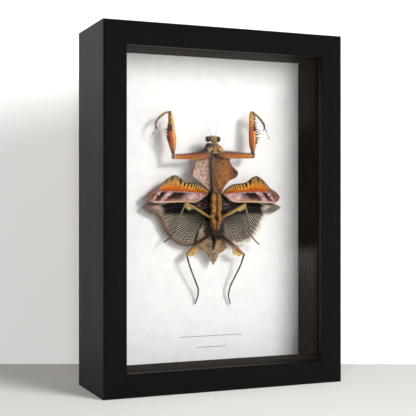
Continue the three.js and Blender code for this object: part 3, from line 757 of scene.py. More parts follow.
# %% [markdown]
# ## Fore wings
# The fore wing is leathery. Its front strip is orange with black bars that stand close at the
# root and wider apart towards a lobed bulge; the rest is pinkish with dark brown patches. The
# pattern follows the wing, so the sheet carries it: the first pattern number is the distance from
# the body, the second runs from the trailing edge through the dividing vein to the leading edge.

# %% The fore wing's outline and surface
WINGS_X = 1.8
WING_REACH = 40.0     # the first pattern number is 1 this far out
FORE_OUT = [4.3, 6, 8.5, 11, 14.5, 17.5, 20, 22.5, 25, 28, 31, 33.5, 35.5, 36.8]
FORE_LEAD = [98, 99.6, 101.2, 101.9, 102.2, 103.0, 105.0, 106.0, 105.1, 102.9, 99.9, 98.5, 97.2, 95.6]
FORE_TRAIL = [96.2, 95.2, 93.4, 92.4, 92.2, 92.3, 92.3, 92.2, 92.1, 92, 91.9, 92.1, 92.8, 93.9]
DIVIDE_OUT = [4.3, 8, 12, 16, 22, 28, 32, 36.8]
DIVIDE_Z = [96.9, 97.1, 97.5, 97.8, 98, 98.1, 97.6, 94.8]
BAR_RATE = 8.2        # the bars' spacing grows with the distance out divided by this
BAR_LEAN = 1.6
BARS_FROM = 0.8       # no bar is worked out nearer to the body than this
FORE_HEIGHT = 6.1     # above the backing, at the root
FORE_THICKNESS = 0.22
FORE_CELLS = (240, 64)
print("the fore wing is", FORE_OUT[-1] - FORE_OUT[0], "mm long and",
      round(max(FORE_LEAD) - min(FORE_TRAIL), 1), "mm deep")


def fore_wing_surface(side):
    def parts(u, v):
        out = FORE_OUT[0] + (FORE_OUT[-1] - FORE_OUT[0]) * u
        lead, trail, divide = (
            smooth(FORE_OUT, FORE_LEAD, out),
            smooth(FORE_OUT, FORE_TRAIL, out),
            smooth(DIVIDE_OUT, DIVIDE_Z, out),
        )
        upper = np.clip((v - 0.5) * 2, 0, 1)
        lower = np.clip((0.5 - v) * 2, 0, 1)
        z = divide + (lead - divide) * upper - (divide - trail) * lower
        return out, z, upper, lower

    def middle(u, v):
        out, z, upper, lower = parts(u, v)
        bar_place = BAR_RATE * np.log(np.maximum(out - BAR_LEAN * (1 - upper), BARS_FROM))
        pleats = 0.13 * np.cos(2 * math.pi * bar_place) * np.clip(upper * 2, 0, 1) * (upper > 0)
        pleats = pleats * np.clip((26 - out) / 6, 0, 1)
        vein = 0.28 * np.exp(-((upper - lower) / 0.1) ** 2)
        curl = 0.9 * upper**2 * np.exp(-((out - 23) / 6) ** 2) + 0.5 * np.sin(math.pi * upper)
        sag = -0.45 * np.sin(math.pi * lower) + 0.12 * np.sin(lower * 12) * lower
        height = FORE_HEIGHT + pleats + vein + curl + sag - 0.9 * u**3
        return WINGS_X + side * out, height, z

    def pattern(u, v):
        return (FORE_OUT[0] + (FORE_OUT[-1] - FORE_OUT[0]) * u) / WING_REACH, v

    return middle, pattern


# %% Colours of the fore wing's front strip
DARK_MARKS = ((19.4, 0.5), (23.4, 0.45), (26.4, 0.35))   # distance out and half width, in mm


def front_strip_colour(nodes, out, upper, cloud, wobble):
    """Orange, with black bars, painted highlights between them, and marks further out."""
    orange = nodes.ramp(upper, [(0.0, "a8481a"), (0.14, "c25614"), (0.34, "cf7a1e"), (0.62, "c98f34"),
                                (0.86, "7d6a42"), (1.0, "4a4334")])
    orange = nodes.paint(orange, nodes.step(cloud, 0.45, 0.7), 0.6, "8a4216")
    lobe = nodes.math("MULTIPLY", nodes.step(out, 17, 27), nodes.step(upper, 0.25, 0.95))
    orange = nodes.paint(orange, lobe, 0.8, "7c6650")
    tip = nodes.step(nodes.math("ADD", out, wobble), 29.2, 31.0)
    orange = nodes.mix(tip, orange, "7d6058")

    lean = nodes.math("MULTIPLY", nodes.math("SUBTRACT", 1.0, upper), BAR_LEAN)
    leaned = nodes.math("SUBTRACT", nodes.math("ADD", out, wobble), lean)
    leaned = nodes.math("MAXIMUM", leaned, BARS_FROM)
    bar_place = nodes.math("MULTIPLY", nodes.math("LOGARITHM", leaned, math.e), BAR_RATE)
    wave = nodes.math("COSINE", nodes.math("MULTIPLY", bar_place, 2 * math.pi))
    bars = nodes.step(wave, -0.1, 0.55)
    # painted highlights: pale glints on the pleats between the bars
    painted_highlights = nodes.step(nodes.math("MULTIPLY", wave, -1.0), 0.1, 0.9)
    reach_down = nodes.math("MULTIPLY", nodes.step(out, 9.0, 13.0), 0.42)
    hang = nodes.step(upper, reach_down, nodes.math("ADD", reach_down, 0.14))
    bars = nodes.math("MULTIPLY", bars, hang)
    bars = nodes.math("MULTIPLY", bars, nodes.fall(out, 19.5, 22.0))
    painted_highlights = nodes.math("MULTIPLY", painted_highlights, nodes.band(upper, 0.3, 0.85, 0.15))
    painted_highlights = nodes.math("MULTIPLY", painted_highlights, nodes.fall(out, 17.0, 24.0))
    # the pale glints are painted highlights
    orange = nodes.paint(orange, painted_highlights, 0.7, "e0b05c")
    orange = nodes.paint(orange, bars, 0.97, "120b06")
    for middle, half_width in DARK_MARKS:
        mark = nodes.math("MULTIPLY", nodes.band(leaned, middle - half_width, middle + half_width, 0.3),
                          nodes.step(upper, 0.5, 0.75))
        orange = nodes.paint(orange, mark, 0.85, "1a120b")
    return orange


print("single dark marks at", [middle for middle, _ in DARK_MARKS], "mm out")


# %% Colours of the fore wing's rear part
# start and end in mm out, colour, and the width of the soft start
DARK_PATCHES = ((10.5, 22.4, "0b0504", 7.0), (24.8, 28.8, "120807", 1.6), (30.4, 32.8, "22110d", 0.9))


def rear_part_colour(nodes, place, out, lower, cloud, wobble):
    """Pinkish, with dark patches, gilt towards the trailing edge and brown at the tip."""
    pink = nodes.mix(nodes.step(cloud, 0.35, 0.65), "a67872", "d6b6b2")
    streak = nodes.noise(nodes.vector("MULTIPLY", place, (0.5, 1.0, 2.6)), 0.9, 3.0, 0.6)
    pink = nodes.paint(pink, nodes.step(streak, 0.48, 0.68), 0.6, "8c6264")
    drift = nodes.math("ADD", nodes.math("SUBTRACT", out, nodes.math("MULTIPLY", lower, 5.5)),
                       nodes.math("MULTIPLY_ADD", cloud, 3.0, nodes.math("SUBTRACT", wobble, 1.5)))
    for low, high, code, fade in DARK_PATCHES:
        edge = nodes.step(drift, low, low + fade)
        patch = nodes.math("SUBTRACT", edge, nodes.step(drift, high - 0.5, high + 0.5), clamp=True)
        patch = nodes.math("MULTIPLY", patch, nodes.step(lower, 0.03, 0.16))
        patch = nodes.math("MULTIPLY", patch, nodes.fall(lower, 0.74, 0.94))
        warm = nodes.mix(nodes.step(lower, 0.42, 0.8), code, "5e341c")
        pink = nodes.paint(pink, patch, 0.97, warm)
    gilt = nodes.math("MULTIPLY", nodes.step(lower, 0.6, 0.85), nodes.band(out, 11.0, 25.0, 2.0))
    pink = nodes.paint(pink, gilt, 0.6, "a5814e")
    pink = nodes.paint(pink, nodes.step(lower, 0.82, 0.98), 0.7, "cdb096")
    tip = nodes.step(out, 31.5, 35.5)
    pink = nodes.paint(pink, tip, 0.85, "8a5a46")
    root = nodes.fall(out, 5.0, 8.5)
    pink = nodes.paint(pink, root, 0.55, "5d4238")
    return pink


print("dark patches from", [patch[0] for patch in DARK_PATCHES], "mm out")


# %% The fore wing's finish
def fore_wing_finish():
    """The two parts' colours, with the dividing seam, the hem and fine raised veins."""
    made, nodes, shader = new_material("fore_wing", roughness=0.55, specular=0.06)
    flat = nodes.add("ShaderNodeUVMap", uv_map="pattern").outputs[0]
    across, along, _ = nodes.axes(flat)
    out = nodes.math("MULTIPLY", across, WING_REACH)
    level = nodes.math("MULTIPLY_ADD", along, 2.0, -1.0)
    upper = nodes.math("MAXIMUM", level, 0.0)
    lower = nodes.math("MAXIMUM", nodes.math("MULTIPLY", level, -1.0), 0.0)
    place = nodes.place_mm()
    cloud = nodes.noise(place, 0.5, 4.0, 0.5)
    speck = nodes.noise(place, 2.4, 3.0)
    wobble = nodes.math("MULTIPLY_ADD", nodes.noise(place, 0.9, 2.0), 0.8, -0.4)
    orange = front_strip_colour(nodes, out, upper, cloud, wobble)
    pink = rear_part_colour(nodes, place, out, lower, cloud, wobble)
    colour = nodes.mix(nodes.step(level, -0.02, 0.02), pink, orange)
    seam = nodes.band(level, -0.035, 0.05, 0.02)
    colour = nodes.paint(colour, seam, 0.45, "8e3a1c")
    hem = nodes.math("MAXIMUM", nodes.step(upper, 0.94, 1.0), nodes.step(lower, 0.97, 1.0))
    colour = nodes.paint(colour, hem, 0.6, "4a3a30")
    nodes.feed(shader.inputs["Base Color"], colour)
    veins = nodes.fall(nodes.cracks(place, 1.1), 0.0, 0.12)
    relief(nodes, shader, nodes.math("ADD", nodes.math("MULTIPLY", veins, 0.5), speck), 0.05)
    return made


FORE_WING = fore_wing_finish()
print("the fore wing's finish has", len(FORE_WING.node_tree.nodes), "nodes")

# %% Both fore wings
for side, name in ((-1, "left"), (1, "right")):
    middle, pattern = fore_wing_surface(side)
    wing = sheet(f"leather_wing_{name}", FORE_CELLS, middle, lambda u, v: FORE_THICKNESS + 0 * u,
                 pattern)
    wrinkle(wing, 0.07, 1.6, 3 + side)
    dress(wing, FORE_WING, "fore_wing", f"fore_wing_{name}")

# %% [markdown]
# ## Hind wings
# The hind wing opens like a fan about its root. It is near black, crossed by a fine pale net of
# veins that ends before a plain pale hem, with a solid black patch in front and a greyish horn at
# the tip. The sheet is laid out by angle and radius, so the net is two sets of thin bands, one in
# angle and one in radius, and the main ribs are grown on it as lines.

# %% The fan's outline and surface
HIND_ROOT = (2.9, 91.6)
HIND_ROOT_RADIUS = 1.6
FAN_ANGLE = [-3.5, -1, 1, 2.8, 5, 8, 11, 15, 24, 36, 47, 57, 65, 72, 78, 84.5]
FAN_RADIUS = [25, 30.5, 33.6, 35.6, 34.2, 31.9, 29.2, 27.6, 27.2, 27, 26.4, 25.2, 23.6, 21.8, 19.6, 14]
PLEATS = 20
FAN_SPREAD = FAN_ANGLE[-1] - FAN_ANGLE[0]
FAN_HEIGHT = 3.9      # above the backing, at the root
FAN_THICKNESS = 0.16
FAN_CELLS = (90, 320)
print("the fan opens over", FAN_SPREAD, "degrees, with a radius of up to", max(FAN_RADIUS), "mm")


def fan_point(side, angle, share, lift=0.0):
    """A point of the fan at an angle in degrees and a share of its radius."""
    radius = HIND_ROOT_RADIUS + (smooth(FAN_ANGLE, FAN_RADIUS, angle) - HIND_ROOT_RADIUS) * share
    turn = np.radians(angle)
    wave = np.cos(2 * math.pi * PLEATS * (angle - FAN_ANGLE[0]) / FAN_SPREAD)
    pleat = 0.14 * share * (1 - 0.6 * share) * wave
    out = HIND_ROOT[0] + radius * np.cos(turn)
    height = FAN_HEIGHT - 0.7 * share**2 + pleat + lift
    return WINGS_X + side * out, height, HIND_ROOT[1] - radius * np.sin(turn)


def fan_surface(side):
    def angle_of(v):
        return FAN_ANGLE[0] + FAN_SPREAD * v

    return (lambda u, v: fan_point(side, angle_of(v), u)), (lambda u, v: (u, angle_of(v) / 100))


# %% The hind wing's net
NET_SPACING = 1 / 25  # between cross veins, as a share of the radius
RAY_SPACING = 0.05    # between rays, in pattern units of 100 degrees


def net_mask(nodes, share, angle):
    """1 on the rays and on the slanting cross veins, which are shifted from row to row."""
    ray_place = nodes.math("DIVIDE", angle, RAY_SPACING)
    row = nodes.math("FLOOR", ray_place)
    offset = nodes.math("MULTIPLY", nodes.math("MODULO", row, 2.0), 0.5)
    slant = nodes.math("MULTIPLY", nodes.math("FRACT", ray_place), 0.5)
    net_place = nodes.math("ADD", nodes.math("DIVIDE", share, NET_SPACING),
                           nodes.math("ADD", offset, slant))
    cross = nodes.math("ABSOLUTE", nodes.math("SUBTRACT", nodes.math("FRACT", net_place), 0.5))
    cross = nodes.fall(cross, 0.07, 0.19)
    ray = nodes.math("ABSOLUTE", nodes.math("SUBTRACT", nodes.math("FRACT", ray_place), 0.5))
    ray = nodes.step(ray, 0.38, 0.47)
    return nodes.math("MAXIMUM", cross, nodes.math("MULTIPLY", ray, 0.45))


print("cross veins along a ray:", round(1 / NET_SPACING))


# %% The hind wing's finish
def hind_wing_finish(name, hem_colour, rim_colour, horn_colour):
    """A pale net on black, with a hem, its outer rim and a horn in the three colours."""
    made, nodes, shader = new_material(name, roughness=0.6, specular=0.08)
    flat = nodes.add("ShaderNodeUVMap", uv_map="pattern").outputs[0]
    share, angle, _ = nodes.axes(flat)
    place = nodes.place_mm()
    cloud = nodes.noise(place, 0.35, 4.0, 0.4)
    below = nodes.fall(nodes.axes(place)[2], 85.0, 87.6)
    net = net_mask(nodes, share, angle)
    strength = nodes.math("MULTIPLY", nodes.step(share, 0.1, 0.75), below)
    strength = nodes.math("MULTIPLY", strength, nodes.math("MULTIPLY_ADD", cloud, 0.8, 0.6))
    net = nodes.math("MULTIPLY", net, strength, clamp=True)

    ground = nodes.mix(nodes.step(cloud, 0.3, 0.7), "040406", "0d0a0c")
    far = nodes.math("MULTIPLY", nodes.step(share, 0.6, 0.95), below)
    ground = nodes.paint(ground, far, 0.35, "2e231d")
    root = nodes.fall(share, 0.1, 0.3)
    ground = nodes.mix(nodes.math("MULTIPLY", root, nodes.step(cloud, 0.45, 0.6)), ground, "3d2b2a")
    colour = nodes.mix(net, ground, "cbbfaa")
    ragged = nodes.math("MULTIPLY_ADD", cloud, 0.14, share)
    front = nodes.fall(angle, 0.04, 0.15)
    hem_start = nodes.math("MULTIPLY_ADD", front, -0.21, 1.0)
    hem = nodes.step(ragged, nodes.math("SUBTRACT", hem_start, 0.05), nodes.math("ADD", hem_start, 0.05))
    rim = nodes.math("MULTIPLY_ADD", nodes.noise(place, 0.8, 3.0), 0.1, share)
    # the outer rim: brown on the left, darkened further as painted shade, and cream on the right
    hem_tint = nodes.mix(nodes.step(rim, 0.9, 1.02), hem_colour, rim_colour)
    colour = nodes.mix(hem, colour, hem_tint)
    horn = nodes.math("MULTIPLY", nodes.step(ragged, 0.82, 0.93), nodes.fall(angle, 0.08, 0.13))
    colour = nodes.paint(colour, horn, 0.85, horn_colour)
    top_edge = nodes.fall(angle, -0.02, 0.012)
    colour = nodes.paint(colour, top_edge, 0.7, "2a211e")
    nodes.feed(shader.inputs["Base Color"], colour)
    relief(nodes, shader, nodes.math("ADD", net, nodes.math("MULTIPLY", cloud, 0.3)), 0.06)
    return made


# the hem, its outer rim and the horn at the tip; the left ones are darker, painted shade over the wing's own
# colours
HEMS = {"left": ("b79f92", "735344", "6e5c54"), "right": ("c4b3a3", "efe6d8", "4e4440")}
HIND_WINGS = {name: hind_wing_finish(f"hind_wing_{name}", *HEMS[name]) for name in HEMS}
print("hind wing finishes:", ", ".join(made.name for made in HIND_WINGS.values()))


# %% Main ribs and both hind wings
def fan_veins(side):
    """Main ribs of the fan, thinning from the root to the hem."""
    strands, sizes = [], []
    share = np.linspace(0.03, 0.93, 26)
    for angle in np.linspace(FAN_ANGLE[0] + 5, FAN_ANGLE[-1] - 4, PLEATS - 1):
        x, height, z = fan_point(side, np.full_like(share, angle), share, lift=0.09)
        strands.append(np.stack([x, height, z], -1))
        sizes.append(1 - 0.75 * share)
    points, edges = lines(strands)
    return points, np.concatenate(sizes), edges


VEIN, nodes, shader = new_material("wing_vein", roughness=0.45)
vein_cloud = nodes.noise(nodes.place_mm(), 0.9, 3.0)
nodes.feed(shader.inputs["Base Color"], nodes.mix(vein_cloud, "141011", "332a26"))
relief(nodes, shader, vein_cloud, 0.02)

for side, name in ((-1, "left"), (1, "right")):
    middle, pattern = fan_surface(side)
    fan = sheet(f"fan_wing_{name}", FAN_CELLS, middle, lambda u, v: FAN_THICKNESS + 0 * u, pattern)
    wrinkle(fan, 0.05, 1.8, 5 + side)
    dress(fan, HIND_WINGS[name], "hind_wing", f"hind_wing_{name}")
    points, sizes, edges = fan_veins(side)
    veins = grown(f"fan_veins_{name}", VEIN_RIBS, points, sizes,
                  {"Thickness": 0.09 * MM, "Sides": 5, "Material": VEIN}, edges=edges)
    dress(veins, VEIN, "hind_wing")

# %% [markdown]
# ## Wing roots
# Where the wings meet the body, dark membrane is folded up on both sides of it. One small wavy
# sheet on each side fills that place, nearly black, partly that membrane and partly painted shade
# beside the body, with a pinkish fold across it. Without it the white backing would show through
# beside the body.

# %% Folded membrane on both sides of the body
ROOT_TOP, ROOT_FOOT = 97.2, 82.5
ROOT_INNER, ROOT_OUTER = 0.4, 8.6
ROOT_THICKNESS = 0.3
ROOT_CELLS = (40, 60)
THORAX_X = 1.25       # the body's middle line


def root_surface(side):
    def middle(u, v):
        out = ROOT_INNER + (ROOT_OUTER - ROOT_INNER) * u * (0.25 + 0.75 * np.sin(math.pi * v**0.8))
        z = ROOT_TOP + (ROOT_FOOT - ROOT_TOP) * v
        folds = 0.28 * np.cos(v * 19 + u * 3) * u + 0.15 * np.cos(u * 14)
        return THORAX_X + side * (0.8 + out), 5.0 + folds - 0.7 * u, z

    return middle


ROOT_AND_SHADE_FINISH, nodes, shader = new_material("wing_root", roughness=0.6, specular=0.12)
place = nodes.place_mm()
root_cloud = nodes.noise(place, 0.6, 4.0, 0.6)
z = nodes.axes(place)[2]
root_streak = nodes.noise(nodes.vector("MULTIPLY", place, (0.35, 1.0, 2.2)), 0.9, 3.0, 0.8)
fold = nodes.math("MULTIPLY", nodes.band(z, 88.6, 92.6, 1.2), nodes.step(root_streak, 0.5, 0.62))
# nearly black: the dark membrane, with painted shade beside the body
root_and_shade_colour = nodes.mix(nodes.step(root_cloud, 0.35, 0.7), "070506", "2a1d18")
root_and_shade_colour = nodes.paint(root_and_shade_colour, fold, 0.75, "80605a")
nodes.feed(shader.inputs["Base Color"], root_and_shade_colour)
relief(nodes, shader, root_cloud, 0.12)
for side, name in ((-1, "left"), (1, "right")):
    root = sheet(f"wing_root_{name}", ROOT_CELLS, root_surface(side),
                 lambda u, v: ROOT_THICKNESS + 0 * u, lambda u, v: (u, v))
    wrinkle(root, 0.12, 1.4, 40 + side)
    dress(root, ROOT_AND_SHADE_FINISH, "hind_wing")

# %% [markdown]
# ## The shield
# The first body ring is drawn out into a thin leaf with two curled lobes and a dark keel down its
# middle. The lobe on the left faces the light and is painted paler, pinkish grey; the other is painted
# darker, orange brown. Both are partly their own colours and partly painted light and shade.
# Raised veins branch from the keel to the edge, and small teeth line the rim.

# %% The shield's sheet
SHIELD_Z = [97, 98.6, 100.6, 102.4, 103.8, 104.8, 106.4, 108.4, 110, 111.6, 113.4, 115, 116.4, 117.8,
            119.6, 121.4, 122.6]
SHIELD_LEFT = [-0.7, -2, -4.6, -6.8, -8.8, -10.4, -11.2, -11, -10.3, -9.6, -8.9, -8.4, -7.6, -6.4,
               -4.4, -3.1, -2.4]
SHIELD_RIGHT = [5.2, 5.9, 6.8, 8.1, 9.6, 12, 13.6, 13.5, 11.8, 10.3, 9.6, 9.6, 8.4, 6.7, 5, 3.7, 3]
SHIELD_HEIGHT = 4.6   # above the backing, along the middle
SHIELD_CURL = 2.4     # how far the edges of the lobes rise
SHIELD_CELLS = (150, 120)
LOBE_MIDDLE_Z = 108.5


def shield_point(u, v, lift=0.0):
    """u runs from the neck down, v from the left edge to the right."""
    z = SHIELD_Z[-1] + (SHIELD_Z[0] - SHIELD_Z[-1]) * u
    left, right = smooth(SHIELD_Z, SHIELD_LEFT, z), smooth(SHIELD_Z, SHIELD_RIGHT, z)
    share = np.abs(2 * v - 1)
    spread = np.sin(math.pi * u**1.5)
    folds = 0.16 * np.cos(9 * share + 5 * u) * spread * share
    height = SHIELD_HEIGHT + SHIELD_CURL * spread * share**1.7 + folds + lift
    return left + (right - left) * v, height, z


print("the shield is", round(SHIELD_Z[-1] - SHIELD_Z[0], 1), "mm long and",
      round(max(SHIELD_RIGHT) - min(SHIELD_LEFT), 1), "mm wide")


# %% The shield's finish
def shield_finish():
    """Pinkish grey lit left, orange brown shaded right, with marks that swirl about the middle."""
    made, nodes, shader = new_material("shield", roughness=0.5, specular=0.3)
    place = nodes.place_mm()
    x, _, z = nodes.axes(place)
    sideways = nodes.math("SUBTRACT", x, 0.6)
    upwards = nodes.math("SUBTRACT", z, LOBE_MIDDLE_Z)
    flat = nodes.add("ShaderNodeCombineXYZ", {"X": sideways, "Y": upwards}).outputs[0]
    far = nodes.add("ShaderNodeVectorMath", {0: flat}, operation="LENGTH").outputs["Value"]
    turn = nodes.math("ARCTAN2", upwards, sideways)
    swirl = nodes.add("ShaderNodeCombineXYZ", {
        "X": nodes.math("MULTIPLY", far, 1.5),
        "Y": nodes.math("MULTIPLY", turn, 1.6),
    }).outputs[0]
    rays = nodes.vector("MULTIPLY", swirl, (0.22, 3.2, 1.0))
    arcs = nodes.noise(swirl, 1.5, 3.0, 0.7)
    veins = nodes.noise(rays, 1.2, 4.0, 0.5)
    cloud = nodes.noise(place, 0.32, 4.0, 0.8)
    # left lobe, facing the lamp: its own pink made paler as painted light; painted highlights on the arcs,
    # painted shade between them
    pale = nodes.mix(nodes.step(cloud, 0.38, 0.62), "a5786a", "c9a592")
    pale = nodes.paint(pale, nodes.step(arcs, 0.5, 0.6), 0.75, "e6cfba")
    pale = nodes.paint(pale, nodes.step(arcs, 0.46, 0.36), 0.6, "7a4c40")
    # right lobe, facing away: its own orange brown made darker as painted shade; painted highlights on the
    # veins, painted shade between them
    brown = nodes.mix(nodes.step(cloud, 0.36, 0.64), "8e5230", "ae6f30")
    brown = nodes.paint(brown, nodes.step(veins, 0.54, 0.64), 0.65, "c8904e")
    brown = nodes.paint(brown, nodes.step(veins, 0.46, 0.36), 0.7, "55281a")
    colour = nodes.mix(nodes.step(x, 0.2, 1.6), pale, brown)
    near_keel = nodes.fall(nodes.math("ABSOLUTE", sideways), 0.8, 4.2)
    colour = nodes.paint(colour, near_keel, 0.45, "7c5024")
    far_right = nodes.step(nodes.math("MULTIPLY_ADD", cloud, 2.0, x), 10.0, 13.6)
    colour = nodes.paint(colour, far_right, 0.75, "43231a")
    low = nodes.fall(z, 97.5, 103.0)
    colour = nodes.paint(colour, low, 0.55, "6e4630")
    collar = nodes.step(z, 113.6, 116.0)
    colour = nodes.paint(colour, collar, 0.85, "33200f")
    pattern = nodes.add("ShaderNodeUVMap", uv_map="pattern").outputs[0]
    off_middle = nodes.math("ABSOLUTE", nodes.math("SUBTRACT", nodes.axes(pattern)[1], 0.5))
    rim = nodes.step(off_middle, 0.47, 0.498)
    colour = nodes.paint(colour, rim, 0.7, "45281a")
    nodes.feed(shader.inputs["Base Color"], colour)
    both = nodes.math("ADD", arcs, veins)
    nodes.feed(shader.inputs["Roughness"], nodes.math("MULTIPLY_ADD", both, 0.3, 0.2))
    relief(nodes, shader, both, 0.9)
    return made


SHIELD = shield_finish()
shield = sheet("leaf_shield", SHIELD_CELLS, shield_point,
               lambda u, v: 0.42 - 0.24 * np.abs(2 * v - 1), lambda u, v: (u, v))
wrinkle(shield, 0.24, 1.6, 11)
dress(shield, SHIELD, "shield_shell", "prothorax")


# %% Its keel
KEEL, nodes, shader = new_material("shield_keel", roughness=0.4)
# its pale crease colour a87c44 paints highlights along the creases
keel_shell = nodes.group(DRIED_SHELL, Vector=nodes.place_mm(), Colour="54381e",
                         Blotch_colour="20140c", Crease_colour="a87c44", Blotch_size=1.2,
                         Blotch_share=0.45)
nodes.feed(shader.inputs["Base Color"], keel_shell["Colour"])
relief(nodes, shader, keel_shell["Height"], 0.08)

keel = fused("shield_keel", [
    bar([[0.3, 5.9, 115.6, 1.1, 1.1], [0.2, 6.0, 113.5, 0.85, 1.1], [0.3, 5.9, 110, 0.58, 0.95],
         [0.5, 5.8, 105, 0.52, 0.9], [0.8, 5.8, 101, 0.7, 1.0], [1.2, 6.0, 98.5, 1.4, 1.3],
         [1.4, 6.3, 96.9, 1.9, 1.4]]),
    bar([[-0.4, 6.5, 114.6, 0.3, 0.3], [-0.35, 6.6, 110, 0.22, 0.3], [-0.1, 6.5, 104, 0.2, 0.3],
         [0.2, 6.5, 99, 0.3, 0.3]], sides=8),
    bar([[1.1, 6.5, 114.6, 0.3, 0.3], [1.0, 6.6, 110, 0.22, 0.3], [1.2, 6.5, 104, 0.2, 0.3],
         [2.0, 6.5, 99, 0.3, 0.3]], sides=8),
], voxel=0.11)
wrinkle(keel, 0.1, 0.9, 4)
dress(keel, KEEL, "shield_shell")


# %% [markdown]
# ## The collar
# Above the shield a lumpy collar carries the head and both grasping legs. It is golden on the
# right and dark with pale streaks on the left. Its swollen sides and low ridges are bars, fused
# into one skin, so that they run into each other as grown shell does.


# %% The collar that carries the head and the grasping legs
def arm(side, ends, half_width):
    """One swollen side of the collar, from the neck down to where a grasping leg starts."""
    neck, foot = ends
    t = np.array([0, 0.35, 0.7, 1.0])
    line = np.array(neck)[None] + (np.array(foot) - np.array(neck))[None] * t[:, None]
    line[:, 1] += 0.6 * np.sin(math.pi * t)
    wide = half_width * np.array([0.55, 1.0, 0.95, 0.6])
    return bar([[*point, w, w * 0.85] for point, w in zip(line, wide)])


def collar_finish():
    """Golden on the right, dark with pale streaks on the left, and pale on the raised ridges."""
    made, nodes, shader, colour = shell_finish("collar", "cc7e24", "4a220a", "f0c470", 1.7,
                                               share=0.44, depth=0.25)
    place = nodes.place_mm()
    x, y, _ = nodes.axes(place)
    streak = nodes.noise(nodes.vector("MULTIPLY", place, (1.0, 1.0, 0.45)), 1.1, 3.0, 0.6)
    dark = nodes.mix(nodes.step(streak, 0.54, 0.66), "20150c", "b9a078")
    left = nodes.fall(x, -0.9, 0.5)
    colour = nodes.paint(colour, left, 0.85, dark)
    raised = nodes.fall(y, MAT_FACE / MM - 9.5, MAT_FACE / MM - 9.15)
    colour = nodes.paint(colour, raised, 0.8, "e4cf9e")
    nodes.feed(shader.inputs["Base Color"], colour)
    return made


COLLAR_FINISH = collar_finish()
collar = fused("neck_collar", [
    arm(-1, ([0.6, 7.3, 121.9], [-5.4, 7.7, 116.7]), 1.45),
    arm(1, ([0.9, 7.3, 121.9], [5.3, 7.9, 117.4]), 1.35),
    bar([[0.75, 7.2, 122.0, 0.9, 0.8], [0.8, 7.4, 120.0, 1.5, 1.0], [0.9, 7.3, 118.2, 1.5, 0.9]]),
    bar([[-2.4, 8.6, 116.7, 0.28, 0.3], [-0.6, 9.0, 117.4, 0.34, 0.3], [1.0, 9.1, 117.6, 0.34, 0.3],
         [2.6, 8.8, 117.0, 0.28, 0.3]], sides=10),
    bar([[0.2, 8.4, 121.0, 0.2, 0.2], [-1.4, 9.2, 119.2, 0.25, 0.25], [-3.2, 9.2, 117.6, 0.2, 0.2]],
        sides=8),
    bar([[1.2, 8.4, 121.0, 0.2, 0.2], [2.6, 9.2, 119.4, 0.25, 0.25], [4.2, 9.2, 118.0, 0.2, 0.2]],
        sides=8),
], voxel=0.1)
wrinkle(collar, 0.22, 0.8, 14)
dress(collar, COLLAR_FINISH, "shield_shell")


# %% [markdown]
# ## Veins and teeth of the shield
# Raised veins branch from the keel towards the rim, and the rim carries small teeth. Both follow
# the shield's own surface, so their points are worked out by the function that made the sheet, and
# the two trees grow ribs and cones on them.


# %% Branching veins
def shield_strands():
    """Lines that leave the keel on both sides and bend towards the rim."""
    strands, sizes = [], []
    t = np.linspace(0, 1, 14)
    for side in (-1, 1):
        for start in np.linspace(0.2, 0.9, 9):
            v = 0.5 + side * (0.06 + 0.42 * t)
            u = start + (0.1 - 0.22 * (start - 0.2)) * t**1.4 * (1 if start < 0.6 else -1)
            strands.append(np.stack(shield_point(u, v, lift=0.2), -1))
            sizes.append(1 - 0.7 * t)
    points, edges = lines(strands)
    return points, np.concatenate(sizes), edges


points, sizes, edges = shield_strands()
shield_veins = grown("shield_veins", VEIN_RIBS, points, sizes,
                     {"Thickness": 0.12 * MM, "Sides": 6, "Material": SHIELD}, edges=edges)
dress(shield_veins, SHIELD, "shield_shell")

# %% Rim teeth
TEETH_PER_SIDE = 34
rim_u = np.linspace(0.12, 0.9, TEETH_PER_SIDE)
rims = [np.stack(shield_point(rim_u, np.full_like(rim_u, v)), -1) for v in (0.004, 0.996)]
rim_points = np.concatenate(rims)
rim_aims = [(-1, 0.3, 0.15)] * TEETH_PER_SIDE + [(1, 0.3, 0.15)] * TEETH_PER_SIDE
rim_teeth = grown("shield_teeth", SPINE_ROW, rim_points, [0.38] * len(rim_points),
                  {"Base radius": 0.13 * MM, "Unevenness": 0.5, "Seed": 4, "Material": KEEL},
                  aims=rim_aims)
dress(rim_teeth, KEEL, "shield_shell")

# %% [markdown]
# ## Head
# A mantis has a triangular head with a bulging eye at each upper corner and a face that narrows
# to the mouth. The skull is a few bars and eggs fused into one skin. The eyes are pieces of their
# own, because they are glossy and dark where the skull is matte and tan.

# %% Skull
HEAD_X = -0.35
MOUTH_X = 0.75
HEAD_FINISH = shell_finish("head_shell", "a87e44", "5a3c1e", "e6ca8c", 1.1, share=0.4, depth=0.15)[0]


def jaw(side):
    """One of the two jaws, curled in towards the mouth."""
    return bar([[MOUTH_X + side * 0.5, 8.7, 122.6, 0.22, 0.2],
                [MOUTH_X + side * 0.85, 9.0, 121.8, 0.18, 0.18],
                [MOUTH_X + side * 0.55, 9.1, 121.0, 0.14, 0.14]], sides=8)


